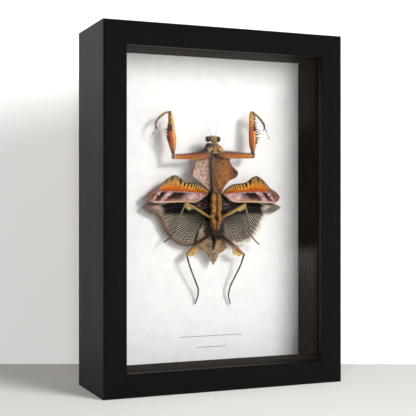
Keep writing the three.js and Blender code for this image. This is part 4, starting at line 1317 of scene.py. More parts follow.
skull = fused("skull", [
    bar([[MOUTH_X, 8.4, 121.5, 0.5, 0.5], [0.6, 8.4, 122.3, 0.9, 0.9], [0.25, 8.2, 123.2, 1.35, 1.2],
         [-0.15, 7.9, 124.2, 2.0, 1.4], [HEAD_X, 7.6, 125.1, 2.7, 1.4], [HEAD_X, 7.5, 125.8, 2.8, 1.0]],
        sides=24),
    bar([[HEAD_X - 3.1, 7.3, 125.6, 0.4, 0.6], [HEAD_X, 7.7, 125.75, 0.42, 0.8],
         [HEAD_X + 3.1, 7.3, 125.6, 0.4, 0.6]]),
    egg([HEAD_X - 0.8, 8.8, 124.9], [0.36, 0.36, 0.36]),
    egg([HEAD_X + 0.8, 8.8, 124.9], [0.36, 0.36, 0.36]),
    egg([0.3, 9.0, 123.3], [0.75, 0.4, 0.5]),
    egg([0.55, 9.0, 122.4], [0.55, 0.4, 0.45]),
    jaw(-1), jaw(1),
], voxel=0.08)
wrinkle(skull, 0.06, 0.7, 2)
dress(skull, HEAD_FINISH, "head_shell", "head")

# %% Eyes
EYE, nodes, shader = new_material("eye", roughness=0.1, specular=0.7)
place = nodes.place_mm()
facets = nodes.cracks(place, 6.0)
eye_cloud = nodes.noise(place, 0.7, 2.0)
nodes.feed(shader.inputs["Base Color"], nodes.mix(eye_cloud, "0a0605", "2b160d"))
relief(nodes, shader, nodes.step(facets, 0.0, 0.2), 0.012)
for side, name in ((-1, "left"), (1, "right")):
    eye = fused(f"eye_{name}", [egg([HEAD_X + side * 2.75, 7.7, 124.3], [1.3, 1.45, 1.4]),
                                egg([HEAD_X + side * 3.0, 7.6, 124.75], [1.2, 1.2, 1.05])], voxel=0.1)
    dress(eye, EYE, "head_shell")

# %% Antennae
ANTENNA = shell_finish("antenna", "c9bda0", "a3937a", "8a7a62", 1.0)[0]
for side, name in ((-1, "left"), (1, "right")):
    t = np.linspace(0, 1, 30)
    strand = np.stack([HEAD_X + side * (0.8 + 4.6 * t**1.4), 8.7 - 2.4 * t, 125.2 + 11.0 * t], -1)
    points, edges = lines([strand])
    beads = 1 + 0.25 * np.cos(t * 120)
    feeler = grown(f"feeler_{name}", VEIN_RIBS, points, (1.05 - 0.7 * t) * beads,
                   {"Thickness": 0.08 * MM, "Sides": 7, "Material": ANTENNA}, edges=edges)
    dress(feeler, ANTENNA, "antenna", f"antenna_{name}")

# %% [markdown]
# ## Thorax and abdomen
# Below the shield the body is two long, glossy, golden-brown lobes with a dark reddish seam between
# them and a hollow painted near black as shade, and below those the hips of the walking legs. The
# abdomen is a flat leaf with ragged edges, mottled brown. The hips and the top of the leaf around
# them are painted near black, as shade. The seam is painted by the distance from the body's middle
# line.

# %% Thorax
def thorax_finish():
    """Golden shell with painted highlights, a dark seam, dark sides, flecks and a hollow in painted shade.
    """
    # its pale crease colour f8d890 is a painted highlight on the glossy lobes
    made, nodes, shader, colour = shell_finish("thorax_shell", "cc8a36", "84440f", "f8d890", 1.3,
                                               share=0.4, depth=0.35, roughness=0.36)
    place = nodes.place_mm()
    x, _, z = nodes.axes(place)
    off = nodes.math("ABSOLUTE", nodes.math("SUBTRACT", x, THORAX_X))
    waver = nodes.math("MULTIPLY_ADD", nodes.noise(place, 0.9, 2.0), 1.4, -0.7)
    seam = nodes.fall(nodes.math("ADD", off, waver), 0.15, 0.75)
    seam_tint = nodes.mix(nodes.step(z, 80.0, 86.0), "8e2f16", "35140a")
    colour = nodes.paint(colour, seam, 0.9, seam_tint)
    # painted shade: a near-black spot in the hollow low between the lobes
    hollow_shade = nodes.math("MULTIPLY", nodes.band(z, 83.0, 85.6, 0.6), nodes.fall(off, 0.6, 1.3))
    colour = nodes.mix(hollow_shade, colour, "150a08")
    edge = nodes.step(nodes.math("ADD", off, waver), 2.1, 2.9)
    colour = nodes.paint(colour, edge, 0.6, "3f2410")
    fleck = nodes.step(nodes.noise(place, 0.75, 3.0, 1.0), 0.53, 0.6)
    colour = nodes.paint(colour, fleck, 0.5, "7a3812")
    nodes.feed(shader.inputs["Base Color"], colour)
    return made


def thorax_lobes(side):
    """The swollen lobes on one side of the seam."""
    def lobe(*stations):
        return bar([[THORAX_X + side * out * 1.12, height, z, wide * 1.1, wide * 1.1]
                    for out, height, z, wide in stations])

    return [
        lobe((0.9, 7.3, 96.4, 0.8), (1.25, 7.9, 95, 1.15), (1.4, 8.1, 93, 1.2), (1.1, 8.0, 91, 0.95)),
        lobe((1.5, 7.8, 91.6, 0.9), (1.5, 8.1, 89.6, 1.25), (1.2, 8.1, 87.4, 1.1), (1.5, 7.7, 85.6, 0.8)),
        lobe((2.2, 7.6, 86.0, 0.7), (2.0, 7.9, 84.4, 1.2), (1.4, 8.0, 82.4, 1.25), (0.9, 7.9, 80.4, 0.9),
             (0.6, 7.6, 78.4, 0.55)),
        lobe((0.35, 8.7, 95.4, 0.3), (0.5, 9.1, 92.4, 0.32), (0.3, 8.9, 90.2, 0.3),
             (0.55, 9.0, 87.6, 0.3)),
    ]


thorax = fused("thorax_lobes", [
    bar([[THORAX_X, 6.4, 96.4, 1.6, 1.4], [THORAX_X, 6.4, 93, 2.5, 1.9], [THORAX_X, 6.4, 88, 2.6, 2.0],
         [THORAX_X, 6.4, 84, 2.9, 2.0], [THORAX_X, 6.4, 80, 2.0, 1.6], [THORAX_X, 6.4, 77.8, 0.9, 0.9]],
        sides=24),
    *thorax_lobes(-1), *thorax_lobes(1),
    egg([THORAX_X, 8.4, 95.2], [0.9, 0.7, 0.9]), egg([THORAX_X, 8.3, 86.2], [0.55, 0.6, 0.8]),
], voxel=0.12)
wrinkle(thorax, 0.42, 1.3, 8)
dress(thorax, thorax_finish(), "thorax_shell", "thorax")

# %% Abdomen
ABDOMEN_Z = [60.6, 62.2, 63.8, 65.4, 66.8, 68.2, 69.6, 71, 73, 75.4, 78, 80.6, 82.6]
ABDOMEN_LEFT = [1.1, 0.5, -0.8, -2, -3.4, -4.9, -6.4, -6.6, -7.5, -7.6, -6.6, -5.4, -3.9]
ABDOMEN_RIGHT = [1.9, 2.5, 3.6, 4.4, 5.8, 8.2, 8.4, 8.2, 9.1, 9.6, 9.3, 8.2, 6.2]
SEGMENTS = 7
ABDOMEN_CELLS = (140, 90)


def abdomen_point(u, v):
    """u runs from the thorax to the tail, v from the left edge to the right."""
    z = ABDOMEN_Z[-1] + (ABDOMEN_Z[0] - ABDOMEN_Z[-1]) * u
    side = 2 * v - 1
    ragged = 0.3 * np.abs(side) ** 6 * np.cos(u * 62) + 0.22 * np.abs(side) ** 6 * np.cos(u * 27 + 1)
    left = smooth(ABDOMEN_Z, ABDOMEN_LEFT, z) - ragged
    right = smooth(ABDOMEN_Z, ABDOMEN_RIGHT, z) + ragged
    rings = 0.12 * np.cos(2 * math.pi * SEGMENTS * (u - 0.12 * side**2)) * (1 - 0.5 * np.abs(side))
    height = 5.3 - 1.1 * u * u - 0.5 * side**2 + rings
    return left + (right - left) * v, height, z


def abdomen_thickness(u, v):
    return 0.3 + 1.7 * np.sqrt(1 - u) * np.clip(1 - (4 * v - 2) ** 2, 0, 1)


def abdomen_finish():
    """Mottled brown, pale towards the edges, and painted near black as shade at its top by the hips."""
    # its pale crease colour e2cba2 paints highlights along the creases
    made, nodes, shader, colour = shell_finish("abdomen_shell", "9a7850", "4e3624", "e2cba2", 2.6,
                                               share=0.44, depth=0.3, roughness=0.55)
    place = nodes.place_mm()
    x, _, z = nodes.axes(place)
    warm = nodes.step(x, 1.5, 6.0)
    colour = nodes.paint(colour, warm, 0.5, "7a4a26")
    flecks = nodes.step(nodes.noise(place, 1.5, 3.0, 0.5), 0.56, 0.66)
    lowest = nodes.fall(z, 67.0, 73.0)
    colour = nodes.mix(nodes.math("MULTIPLY", flecks, lowest), colour, "e0b878")
    # a dark line down the middle of the leaf
    below = nodes.math("MULTIPLY", nodes.step(z, 67.5, 69.5), nodes.band(x, 0.6, 1.5, 0.35))
    # painted shade: near black where the leaf meets the hips
    dark = nodes.math("MAXIMUM", below, nodes.math("MULTIPLY", nodes.band(x, -0.8, 4.6, 0.7),
                                                   nodes.band(z, 73.2, 78.4, 0.8)))
    # painted shade: the top of the leaf, all but its left flap, near black in the gap by the thorax
    upper = nodes.math("MULTIPLY", nodes.step(z, 73.0, 76.5), nodes.step(x, -4.6, -3.2))
    colour = nodes.paint(colour, upper, 0.92, "0f0a09")
    colour = nodes.mix(dark, colour, "0d090e")
    rim = nodes.math("SUBTRACT", 1.0, nodes.band(x, -5.4, 7.2, 1.2))
    colour = nodes.paint(colour, rim, 0.4, "b39a84")
    nodes.feed(shader.inputs["Base Color"], colour)
    return made


abdomen = sheet("leaf_abdomen", ABDOMEN_CELLS, abdomen_point, abdomen_thickness, lambda u, v: (u, v))
wrinkle(abdomen, 0.34, 1.6, 6)
dress(abdomen, abdomen_finish(), "abdomen_shell", "abdomen")

# %% Hips of the hind legs, near black as painted shade
# near-black colour: painted shade in the hollow where the hips meet the abdomen, over their own dark purple
HIPS_IN_SHADE = shell_finish("hind_hips", "1c1218", "0b080d", "4a3428", 0.8, share=0.5, depth=0.15)[0]
hips = fused("hind_hips", [
    egg([0.7, 7.0, 76.3], [1.5, 0.9, 1.5]),
    egg([3.1, 7.0, 76.0], [1.5, 0.9, 1.5]),
    bar([[1.7, 6.9, 78.4, 0.8, 0.7], [1.9, 6.9, 75.6, 1.1, 0.9], [1.2, 6.7, 72.6, 0.7, 0.6],
         [1.0, 6.4, 69.4, 0.3, 0.3]]),
], voxel=0.1)
wrinkle(hips, 0.25, 0.8, 17)
dress(hips, HIPS_IN_SHADE, "abdomen_shell")

# %% [markdown]
# ## Grasping legs
# Each fore leg is a long red-orange coxa with a row of teeth, a stout femur that stands up from it
# with a black spot and two rows of spines, and a short tibia folded out that ends in a dark claw.
# Its colours change along the leg, so every point of the mesh is given its distance from the hip,
# and the finish reads that number.

# %% Stations of both fore legs
FORE_LEGS = {
    "left": {
        "coxa": [[-2, 8, 116.2, 1.2, 0.9], [-5, 7.8, 116.1, 1.75, 1.2], [-9, 7.4, 115.8, 1.9, 1.25],
                 [-14, 7, 115.4, 1.4, 1.15], [-18.5, 6.6, 115.1, 1.15, 1.05], [-21, 6.4, 115.1, 0.9, 0.9]],
        "femur": [[-21.2, 6.4, 115.4, 0.9, 0.9], [-21.4, 6.4, 117.4, 0.95, 0.9],
                  [-21.6, 6.4, 119.9, 1.6, 1.2], [-21.9, 6.4, 122.4, 2.05, 1.35],
                  [-22.2, 6.4, 124.8, 2.25, 1.4], [-22.5, 6.3, 128.7, 1.95, 1.2],
                  [-22.4, 6.3, 131.6, 1.55, 1.0], [-22.7, 6.2, 135.8, 1.05, 0.75],
                  [-23, 6.2, 137.9, 0.6, 0.55]],
        "tibia": [[-23.1, 6.2, 137.6, 0.5, 0.5], [-25.4, 6.2, 137, 0.6, 0.5], [-27.9, 6.1, 135.3, 0.65, 0.5],
                  [-29.9, 5.9, 133, 0.55, 0.45], [-30.6, 5.8, 131.3, 0.45, 0.4]],
        "claw": [[-30.6, 5.8, 131.5, 0.42, 0.38], [-30.5, 5.8, 130.2, 0.3, 0.28],
                 [-30.0, 5.8, 129.1, 0.2, 0.18], [-29.2, 5.8, 128.5, 0.07, 0.07]],
        "tarsus": [[-30.4, 5.6, 130.7, 0.2, 0.2], [-31.1, 5.2, 127.8, 0.16, 0.16],
                   [-32.5, 4.2, 124.6, 0.12, 0.12]],
        "spot": 12.2,
    },
    "right": {
        "coxa": [[2.8, 8, 116.5, 1.2, 0.9], [6, 7.8, 116.5, 1.75, 1.2], [10, 7.4, 116.5, 1.8, 1.25],
                 [15, 7, 116.4, 1.45, 1.15], [19.8, 6.6, 116.3, 1.25, 1.05], [22.4, 6.4, 116.3, 0.9, 0.9]],
        "femur": [[22.7, 6.4, 116.4, 0.9, 0.9], [22.7, 6.4, 118.4, 0.95, 0.9], [22.55, 6.4, 120.4, 1.5, 1.2],
                  [22.5, 6.4, 122.4, 1.9, 1.35], [22.5, 6.4, 125.3, 2.1, 1.4], [22.4, 6.3, 129.5, 1.95, 1.2],
                  [22.2, 6.3, 133.7, 1.6, 1.0], [22.1, 6.2, 137.4, 1.35, 0.8], [22.0, 6.2, 139.2, 0.6, 0.5]],
        "tibia": [[22.8, 6.2, 138.8, 0.5, 0.5], [25.2, 6.2, 137.3, 0.65, 0.5], [27.6, 6.1, 135, 0.7, 0.5],
                  [29.2, 5.9, 132.9, 0.6, 0.45], [29.7, 5.8, 131.7, 0.45, 0.4]],
        "claw": [[29.7, 5.8, 131.9, 0.42, 0.38], [29.5, 5.8, 130.8, 0.3, 0.28],
                 [29.0, 5.8, 129.9, 0.2, 0.18], [28.3, 5.8, 129.4, 0.07, 0.07]],
        "tarsus": [[29.8, 5.6, 131.3, 0.2, 0.2], [31.4, 5.2, 128.6, 0.16, 0.16],
                   [33.2, 4.2, 125.4, 0.12, 0.12]],
        "spot": 12.4,
    },
}
print("each fore leg has", sum(len(part) for part in list(FORE_LEGS["left"].values())[:5]), "stations")

# %% Colours along the fore leg
REACH_SCALE = 60.0   # the ramps run over this many millimetres of leg
COMB_RATE = 5.2      # turns the distance along the leg into the angle of its painted teeth
FEMUR_REACH = (20.5, 42.5)
# the leg's own colours along its length
LEG_COLOURS = [
    (0.0, "6e3c16"), (0.06, "94440c"), (0.16, "aa5210"), (0.23, "bc6418"), (0.29, "c87c24"),
    (0.32, "8a6a58"), (0.35, "5a3c28"), (0.39, "a06420"), (0.46, "c25208"), (0.55, "c8500a"),
    (0.59, "cf8426"), (0.66, "dea048"), (0.72, "c48f38"), (0.76, "9c8a48"), (0.84, "857a40"),
    (0.87, "2a1e14"), (1.0, "2f271f"),
]
# paler, golden colours: painted light on the femur's side that faces the lamp
LIT_SIDE_COLOURS = [
    (0.0, "8a5420"), (0.12, "a8500e"), (0.29, "cf7c20"), (0.32, "a08474"), (0.35, "6a4c30"),
    (0.4, "b88a3c"), (0.5, "dca650"), (0.62, "dca04a"), (0.7, "e6b25c"), (0.76, "b8a05c"),
    (0.84, "968a54"), (0.87, "2a1e14"), (1.0, "3a3026"),
]


print("colour stops on the outer side:", len(LEG_COLOURS), "and on the inner:", len(LIT_SIDE_COLOURS))


# %% The fore leg's finish
def fore_leg_finish(spot_reach, lit_side_sign):
    """Colours along the leg, with its black spot at spot_reach millimetres from the hip."""
    made, nodes, shader = new_material("fore_leg", roughness=0.4, specular=0.25)
    place = nodes.place_mm()
    reach, side = nodes.attribute("reach"), nodes.attribute("side")
    wobble = nodes.math("MULTIPLY_ADD", nodes.noise(place, 0.8, 3.0), 1.6, -0.8)
    where = nodes.math("DIVIDE", nodes.math("ADD", reach, wobble), REACH_SCALE)
    outer = nodes.ramp(where, LEG_COLOURS)
    lit_side_ramp = nodes.ramp(where, LIT_SIDE_COLOURS)
    on_femur = nodes.band(reach, *FEMUR_REACH, 0.6)
    # the femur's side towards the lamp is painted paler: painted light
    towards_light = nodes.math("MULTIPLY", side, lit_side_sign)
    pale = nodes.math("MULTIPLY", on_femur, nodes.step(towards_light, 0.1, 0.8))
    colour = nodes.mix(pale, outer, lit_side_ramp)
    # a painted highlight line along the femur's lit side
    highlight_line = nodes.math("MULTIPLY", on_femur, nodes.band(towards_light, 0.25, 0.6, 0.15))
    colour = nodes.paint(colour, highlight_line, 0.6, "e2b87a")
    comb_wave = nodes.math("COSINE", nodes.math("MULTIPLY", reach, COMB_RATE))
    comb = nodes.math("MULTIPLY", nodes.step(comb_wave, 0.0, 0.5),
                      nodes.band(reach, spot_reach + 2.0, 42.0, 0.5))
    comb = nodes.math("MULTIPLY", comb, nodes.step(side, 0.0, 0.6))
    top_edge = nodes.math("MULTIPLY", nodes.step(nodes.math("MULTIPLY", side, -1.0), 0.35, 0.95),
                          nodes.band(reach, 2.5, 19.0, 1.0))
    comb = nodes.math("MAXIMUM", comb, nodes.math("MULTIPLY", top_edge, nodes.step(comb_wave, -0.2, 0.5)))
    low_edge = nodes.math("MULTIPLY", nodes.step(side, 0.4, 1.0), nodes.band(reach, 2.5, 18.0, 1.0))
    colour = nodes.paint(colour, low_edge, 0.6, "cf8c3c")
    colour = nodes.paint(colour, top_edge, 0.5, "5a2008")
    colour = nodes.paint(colour, comb, 0.95, "240c06")
    edge = nodes.step(nodes.math("ABSOLUTE", side), 1.45, 2.0)
    colour = nodes.paint(colour, nodes.math("MULTIPLY", edge, on_femur), 0.6, "4e2410")
    # painted highlights: pale patches at the elbow
    elbow_highlight = nodes.math("MULTIPLY", nodes.band(reach, 17.8, 20.8, 0.5),
                       nodes.step(nodes.noise(place, 1.1, 2.0), 0.5, 0.62))
    colour = nodes.paint(colour, elbow_highlight, 0.8, "e0ccb4")
    spot = nodes.math("MULTIPLY", nodes.band(reach, spot_reach - 1.7, spot_reach + 1.7, 0.35),
                      nodes.step(side, -0.35, 0.1))
    colour = nodes.mix(spot, colour, "0c0a0a")
    streaks = nodes.noise(place, 2.6, 4.0, 0.6)
    colour = nodes.paint(colour, nodes.step(streaks, 0.48, 0.66), 0.55, "64260c")
    nodes.feed(shader.inputs["Base Color"], colour)
    relief(nodes, shader, streaks, 0.06)
    nodes.feed(shader.inputs["Roughness"], nodes.math("MULTIPLY_ADD", streaks, 0.4, 0.2))
    return made


print("painted teeth stand", round(2 * math.pi / COMB_RATE, 2), "mm apart")


# %% The spines' finish
SPINE, nodes, shader = new_material("spine", roughness=0.3)
spine_cloud = nodes.noise(nodes.place_mm(), 1.5, 2.0)
nodes.feed(shader.inputs["Base Color"], nodes.mix(spine_cloud, "150d09", "4a2412"))
relief(nodes, shader, spine_cloud, 0.02)
print("spines are glossier than the leg, at roughness", round(shader.inputs["Roughness"].default_value, 2))


# %% Spines of the fore legs
FEMUR_SPINES = 15
COXA_TEETH = 14
LONG_SPINES = (1.5, 2.2, 3.0, 2.5, 1.6)   # the ones beside the black spot
LONG_FROM = 2


def on_path(stations, t):
    """Points at shares t of a row of stations, and the half width there."""
    stations = np.asarray(stations, float)
    keys = np.arange(len(stations))
    where = np.asarray(t) * keys[-1]
    centre = np.stack([smooth(keys, stations[:, k], where) for k in range(3)], -1)
    return centre, smooth(keys, stations[:, 3], where)


def fore_leg_spines(name, leg, outer):
    """Two rows of spines on the femur and one row of teeth on the coxa."""
    t = np.linspace(0.4, 0.96, FEMUR_SPINES)
    centre, wide = on_path(leg["femur"], t)
    roots = centre + np.stack([outer * (wide - 0.12), 0.35 + 0 * t, 0 * t], -1)
    sizes = 0.85 + 0.35 * (np.arange(FEMUR_SPINES) % 2)
    sizes[LONG_FROM:LONG_FROM + len(LONG_SPINES)] = LONG_SPINES
    aims = [(outer, 0.3, 0.45 if i % 3 else 0.15) for i in range(FEMUR_SPINES)]
    back = roots[::2] + np.array([-outer * 0.5, 0.5, 0.3])
    t = np.linspace(0.14, 0.9, COXA_TEETH)
    centre, wide = on_path(leg["coxa"], t)
    teeth = centre + np.stack([0 * t, 0.3 + 0 * t, wide - 0.1], -1)
    points = np.concatenate([roots, back, teeth])
    sizes = np.concatenate([sizes, [0.8] * len(back), [0.95] * len(teeth)])
    aims += [(outer, 0.9, 0.3)] * len(back) + [(outer * 0.35, 0.3, 1)] * len(teeth)
    return grown(f"fore_spines_{name}", SPINE_ROW, points, sizes,
                 {"Base radius": 0.42 * MM, "Unevenness": 0.25, "Seed": 2, "Material": SPINE},
                 aims=aims)


print("spines and teeth on a fore leg:", FEMUR_SPINES + (FEMUR_SPINES + 1) // 2 + COXA_TEETH)

# %% Fusing each fore leg, then growing its spines
LEG_VOXEL = 0.085
for outer, name in ((-1, "left"), (1, "right")):
    leg = FORE_LEGS[name]
    joint = leg["coxa"][-1][:3]
    piece = fused(f"grasping_leg_{name}", [
        *[bar(leg[part], sides=20 if part == "femur" else 14) for part in ("coxa", "femur")],
        egg(joint, [1.35, 1.2, 1.3]),
        egg([joint[0] + outer * 0.5, 6.9, joint[2] + 1.0], [0.9, 0.9, 0.9]),
        *[bar(leg[part], sides=10) for part in ("tibia", "claw", "tarsus")],
    ], voxel=LEG_VOXEL, rounds=1)
    wrinkle(piece, 0.16, 1.0, 20 + outer)
    path = [p[:3] for part in ("coxa", "femur", "tibia", "claw") for p in leg[part]]
    path = [p for i, p in enumerate(path) if i == 0 or math.dist(p, path[i - 1]) > 0.4]
    note_reach(piece, path, outer)
    coxa_points = len(leg["coxa"])
    knee_reach = sum(math.dist(a, b) for a, b in zip(path[:coxa_points], path[1:coxa_points + 1]))
    dress(piece, fore_leg_finish(knee_reach + leg["spot"], outer), "fore_leg", f"fore_leg_{name}")
    dress(fore_leg_spines(name, leg, outer), SPINE, "fore_leg")
    print(piece.name, "has its femur", round(knee_reach, 1), "mm from the hip")

# %% [markdown]
# ## Walking legs
# The four walking legs are thin and straw coloured, each with a ragged leafy lobe near the knee,
# and they darken towards the foot. They share one set of proportions and differ in their joints,
# so a table of joints and one function make all four.

# %% Joints of the walking legs
WALKING_LEGS = {
    "mid_leg_left": {"points": [[-2.1, 8.2, 84.6], [-8.2, 8.1, 88.4], [-15.1, 7.6, 92.1]],
                     "shin": [[-15.1, 7.6, 92.1], [-17.6, 7.1, 86], [-19.7, 6.6, 79.6], [-21, 6.4, 77]],
                     "foot": [[-21, 6.4, 77], [-23.2, 5.6, 74.4], [-25.6, 4.6, 72.4]],
                     "lobe": [-13.2, 7.6, 90.9, 2.8, -0.5], "thigh": 0.78},
    "mid_leg_right": {"points": [[4.4, 8.2, 84.6], [11, 8.1, 87.9], [17.6, 7.6, 91.3]],
                      "shin": [[17.6, 7.6, 91.3], [19.2, 7.1, 86], [20.3, 6.6, 80], [20.9, 6.4, 76.2]],
                      "foot": [[20.9, 6.4, 76.2], [23.9, 5.6, 73], [27.1, 4.6, 70.4]],
                      "lobe": [15.2, 7.6, 90.1, 2.7, 0.45], "thigh": 0.95},
    "hind_leg_left": {"points": [[-0.2, 7, 77.3], [-6.9, 6.5, 72.3], [-13.9, 5.6, 66.6]],
                      "shin": [[-13.9, 5.6, 66.6], [-12.1, 4.8, 60.8], [-9.4, 4, 54.6], [-6.6, 3.2, 48.4]],
                      "foot": [[-6.6, 3.2, 48.4], [-6.3, 2, 44.6], [-7.6, 1.1, 40.4]],
                      "lobe": [-11, 5.6, 68.3, 3.5, 0.5], "thigh": 0.82},
    "hind_leg_right": {"points": [[3.2, 7, 76.9], [10.6, 6.5, 71.2], [18, 5.6, 65.4]],
                       "shin": [[18, 5.6, 65.4], [16.4, 4.8, 60], [14, 4, 54.8], [11.5, 3.2, 49.6]],
                       "foot": [[11.5, 3.2, 49.6], [10.8, 2, 44.6], [12.2, 1.1, 39.8]],
                       "lobe": [14.2, 5.6, 67.5, 3.2, -0.5], "thigh": 0.95},
}


print("walking legs:", ", ".join(WALKING_LEGS))


# %% The leafy lobe
LOBE_HALF_THICKNESS = 0.19


def leaf_lobe(x, height, z, radius, lean, seed):
    """A ragged half disc under the end of a thigh, as a closed shell."""
    turn = np.linspace(0, math.pi, 40)
    edge = radius * (1 + 0.1 * np.cos(5 * turn + seed) + 0.1 * np.cos(14 * turn))
    flat = np.stack([edge * np.cos(turn), -0.8 * edge * np.sin(turn)], -1)
    spin = np.array([[math.cos(lean), math.sin(lean)], [-math.sin(lean), math.cos(lean)]])
    flat = np.concatenate([flat, [[0, 0]]]) @ spin
    front_height = np.full(len(flat), height + LOBE_HALF_THICKNESS)
    front = np.stack([x + flat[:, 0], front_height, z + flat[:, 1]], -1)
    back = front - [0, 2 * LOBE_HALF_THICKNESS, 0]
    n = len(flat)
    faces = [[n - 1, k, k + 1] for k in range(n - 2)]
    faces += [[2 * n - 1, n + k + 1, n + k] for k in range(n - 2)]
    faces += [[k, (k - 1) % n, (k - 1) % n + n, k + n] for k in range(n)]
    return np.concatenate([front, back]), faces


print("a lobe has", len(leaf_lobe(0, 0, 0, 1, 0, 0)[1]), "faces before it is fused")


# %% The walking legs' finish
def walking_leg_finish(name, warm):
    """Straw colours at warm 0, and burnt ones with a dark hip at warm 1."""
    made, nodes, shader = new_material(name, roughness=0.5, specular=0.2)
    place = nodes.place_mm()
    reach, side = nodes.attribute("reach"), nodes.attribute("side")
    wobble = nodes.math("MULTIPLY_ADD", nodes.noise(place, 0.7, 3.0), 2.0, -1.0)
    where = nodes.math("DIVIDE", nodes.math("ADD", reach, wobble), REACH_SCALE)
    straw = nodes.ramp(where, [(0.0, "9a682c"), (0.1, "b08a4c"), (0.22, "b89c5e"), (0.3, "8f8056"),
                               (0.45, "746c54"), (0.56, "544c3c"), (0.7, "332c24"), (1.0, "2a251f")])
    burnt = nodes.ramp(where, [(0.0, "120a0c"), (0.13, "3c2010"), (0.21, "a87c3e"), (0.28, "b08a4a"),
                               (0.33, "5d4c34"), (0.5, "564c3c"), (0.7, "3a3228"), (1.0, "2a251f")])
    colour = nodes.mix(warm, straw, burnt)
    leafy = nodes.math("MULTIPLY", nodes.step(nodes.math("ABSOLUTE", side), 0.9, 1.3),
                       nodes.band(reach, 6.0, 26.0, 1.0))
    under = nodes.fall(side, -0.45, 0.05)
    under = nodes.math("MULTIPLY", under, nodes.fall(reach, 16.0, 19.0))
    colour = nodes.paint(colour, under, 0.7, "3d2412")
    leaf = nodes.mix(nodes.step(nodes.noise(place, 1.4, 3.0), 0.4, 0.65), "c2b27a", "7d6434")
    frill = nodes.mix(nodes.step(nodes.noise(place, 1.4, 3.0), 0.45, 0.65), "d2aa62", "965426")
    colour = nodes.mix(leafy, colour, nodes.mix(warm, leaf, frill))
    rings = nodes.noise(place, 3.0, 3.0, 0.4)
    colour = nodes.paint(colour, nodes.step(rings, 0.52, 0.7), 0.45, "4e3a22")
    nodes.feed(shader.inputs["Base Color"], colour)
    relief(nodes, shader, rings, 0.06)
    return made


WALKING_FINISH = {
    "mid": walking_leg_finish("mid_leg", 0.0),
    "hind": walking_leg_finish("hind_leg", 1.0),
}
print("walking leg finishes:", ", ".join(made.name for made in WALKING_FINISH.values()))

# %% All four walking legs and their bristles
BRISTLES = 16
for order, (name, leg) in enumerate(WALKING_LEGS.items()):
    outer = -1 if name.endswith("left") else 1
    thigh = leg["thigh"]
    hip, half_way, knee = leg["points"]
    shapes = [
        bar([[*hip, thigh * 0.8, 0.7], [*half_way, thigh, 0.65], [*knee, thigh * 0.7, 0.55]], sides=12),
        egg(knee, [0.68, 0.6, 0.68]),
        bar([[*p, w, w] for p, w in zip(leg["shin"], (0.5, 0.45, 0.42, 0.44))], sides=10),
        bar([[*p, w, w] for p, w in zip(leg["foot"], (0.4, 0.36, 0.3))], sides=10),
        leaf_lobe(*leg["lobe"], seed=order),
    ]
    piece = fused(name.replace("leg", "walking_leg"), shapes, voxel=LEG_VOXEL, rounds=1)
    wrinkle(piece, 0.07, 0.7, 30 + order)
    path = [hip, half_way, knee, *leg["shin"][1:], *leg["foot"][1:]]
    note_reach(piece, path, outer)
    dress(piece, WALKING_FINISH[name.split("_")[0]], "walking_leg", name)
    shin, _ = on_path([[*p, 0.34] for p in leg["shin"]], np.linspace(0.1, 0.97, BRISTLES))
    away = np.array([outer * 0.3, 0.1, 0])
    aims = [(outer * (1 if k % 2 else -1), 0.4, -0.7) for k in range(BRISTLES)]
    bristles = grown(f"bristles_{name}", SPINE_ROW, shin + away * 0.5, [0.45] * BRISTLES,
                     {"Base radius": 0.09 * MM, "Unevenness": 0.5, "Seed": 9, "Material": SPINE},
                     aims=aims)
    dress(bristles, SPINE, "walking_leg")

# %% [markdown]
# ## Floor and wall
# The frame stands on a plain pale floor before a plain pale wall, which aren't part of the object.
# The wall crosses the camera's view squarely, and is clear from behind, so that views of the back
# aren't blocked. Neither throws its light back on the object, which keeps the insect's shadows as
# dark as they are in the photo.


# %% Floor and wall
WALL_DEPTH = 554 * MM
WALL_HALF_WIDTH = 1.5
WALL_HEIGHT = 1.6
FLOOR_HALF_WIDTH = 2.5
across_way = Vector((math.cos(VIEW_TURN), -math.sin(VIEW_TURN), 0))


def stage_finish(name, colours):
    made, nodes, shader = new_material(name, roughness=0.8, specular=0.2)
    cloud = nodes.noise(nodes.place_mm(), 0.01, 3.0)
    nodes.feed(shader.inputs["Base Color"], nodes.mix(cloud, *colours))
    return made, nodes, shader


def plane(name, corners, material):
    mesh = bpy.data.meshes.new(name)
    mesh.from_pydata([tuple(c) for c in corners], [], [(0, 1, 2, 3)])
    made = bpy.data.objects.new(name, mesh)
    bpy.context.scene.collection.objects.link(made)
    mesh.materials.append(material)
    made.visible_diffuse = False
    return made


foot = Vector((camera.location.x, camera.location.y, 0)) + view_way * WALL_DEPTH
floor_finish = stage_finish("floor", ("e3e1dc", "e8e6e1"))[0]
floor_corners = [(a * FLOOR_HALF_WIDTH, b * FLOOR_HALF_WIDTH, 0)
                 for a, b in ((-1, -1), (1, -1), (1, 1), (-1, 1))]
floor = plane("floor", floor_corners, floor_finish)
wall_finish, nodes, shader = stage_finish("wall", ("efeeec", "f3f2f0"))
behind = nodes.add("ShaderNodeNewGeometry").outputs["Backfacing"]
clear = nodes.add("ShaderNodeBsdfTransparent")
blend = nodes.add("ShaderNodeMixShader", {0: behind, 1: shader.outputs[0], 2: clear.outputs[0]})
nodes.feed(nodes.tree.nodes["Material Output"].inputs["Surface"], blend.outputs[0])
up = Vector((0, 0, WALL_HEIGHT))
left_foot = foot - across_way * WALL_HALF_WIDTH
right_foot = foot + across_way * WALL_HALF_WIDTH
wall = plane("wall", [left_foot, right_foot, right_foot + up, left_foot + up], wall_finish)
print("the wall crosses the view", round(WALL_DEPTH / MM), "mm before the camera")


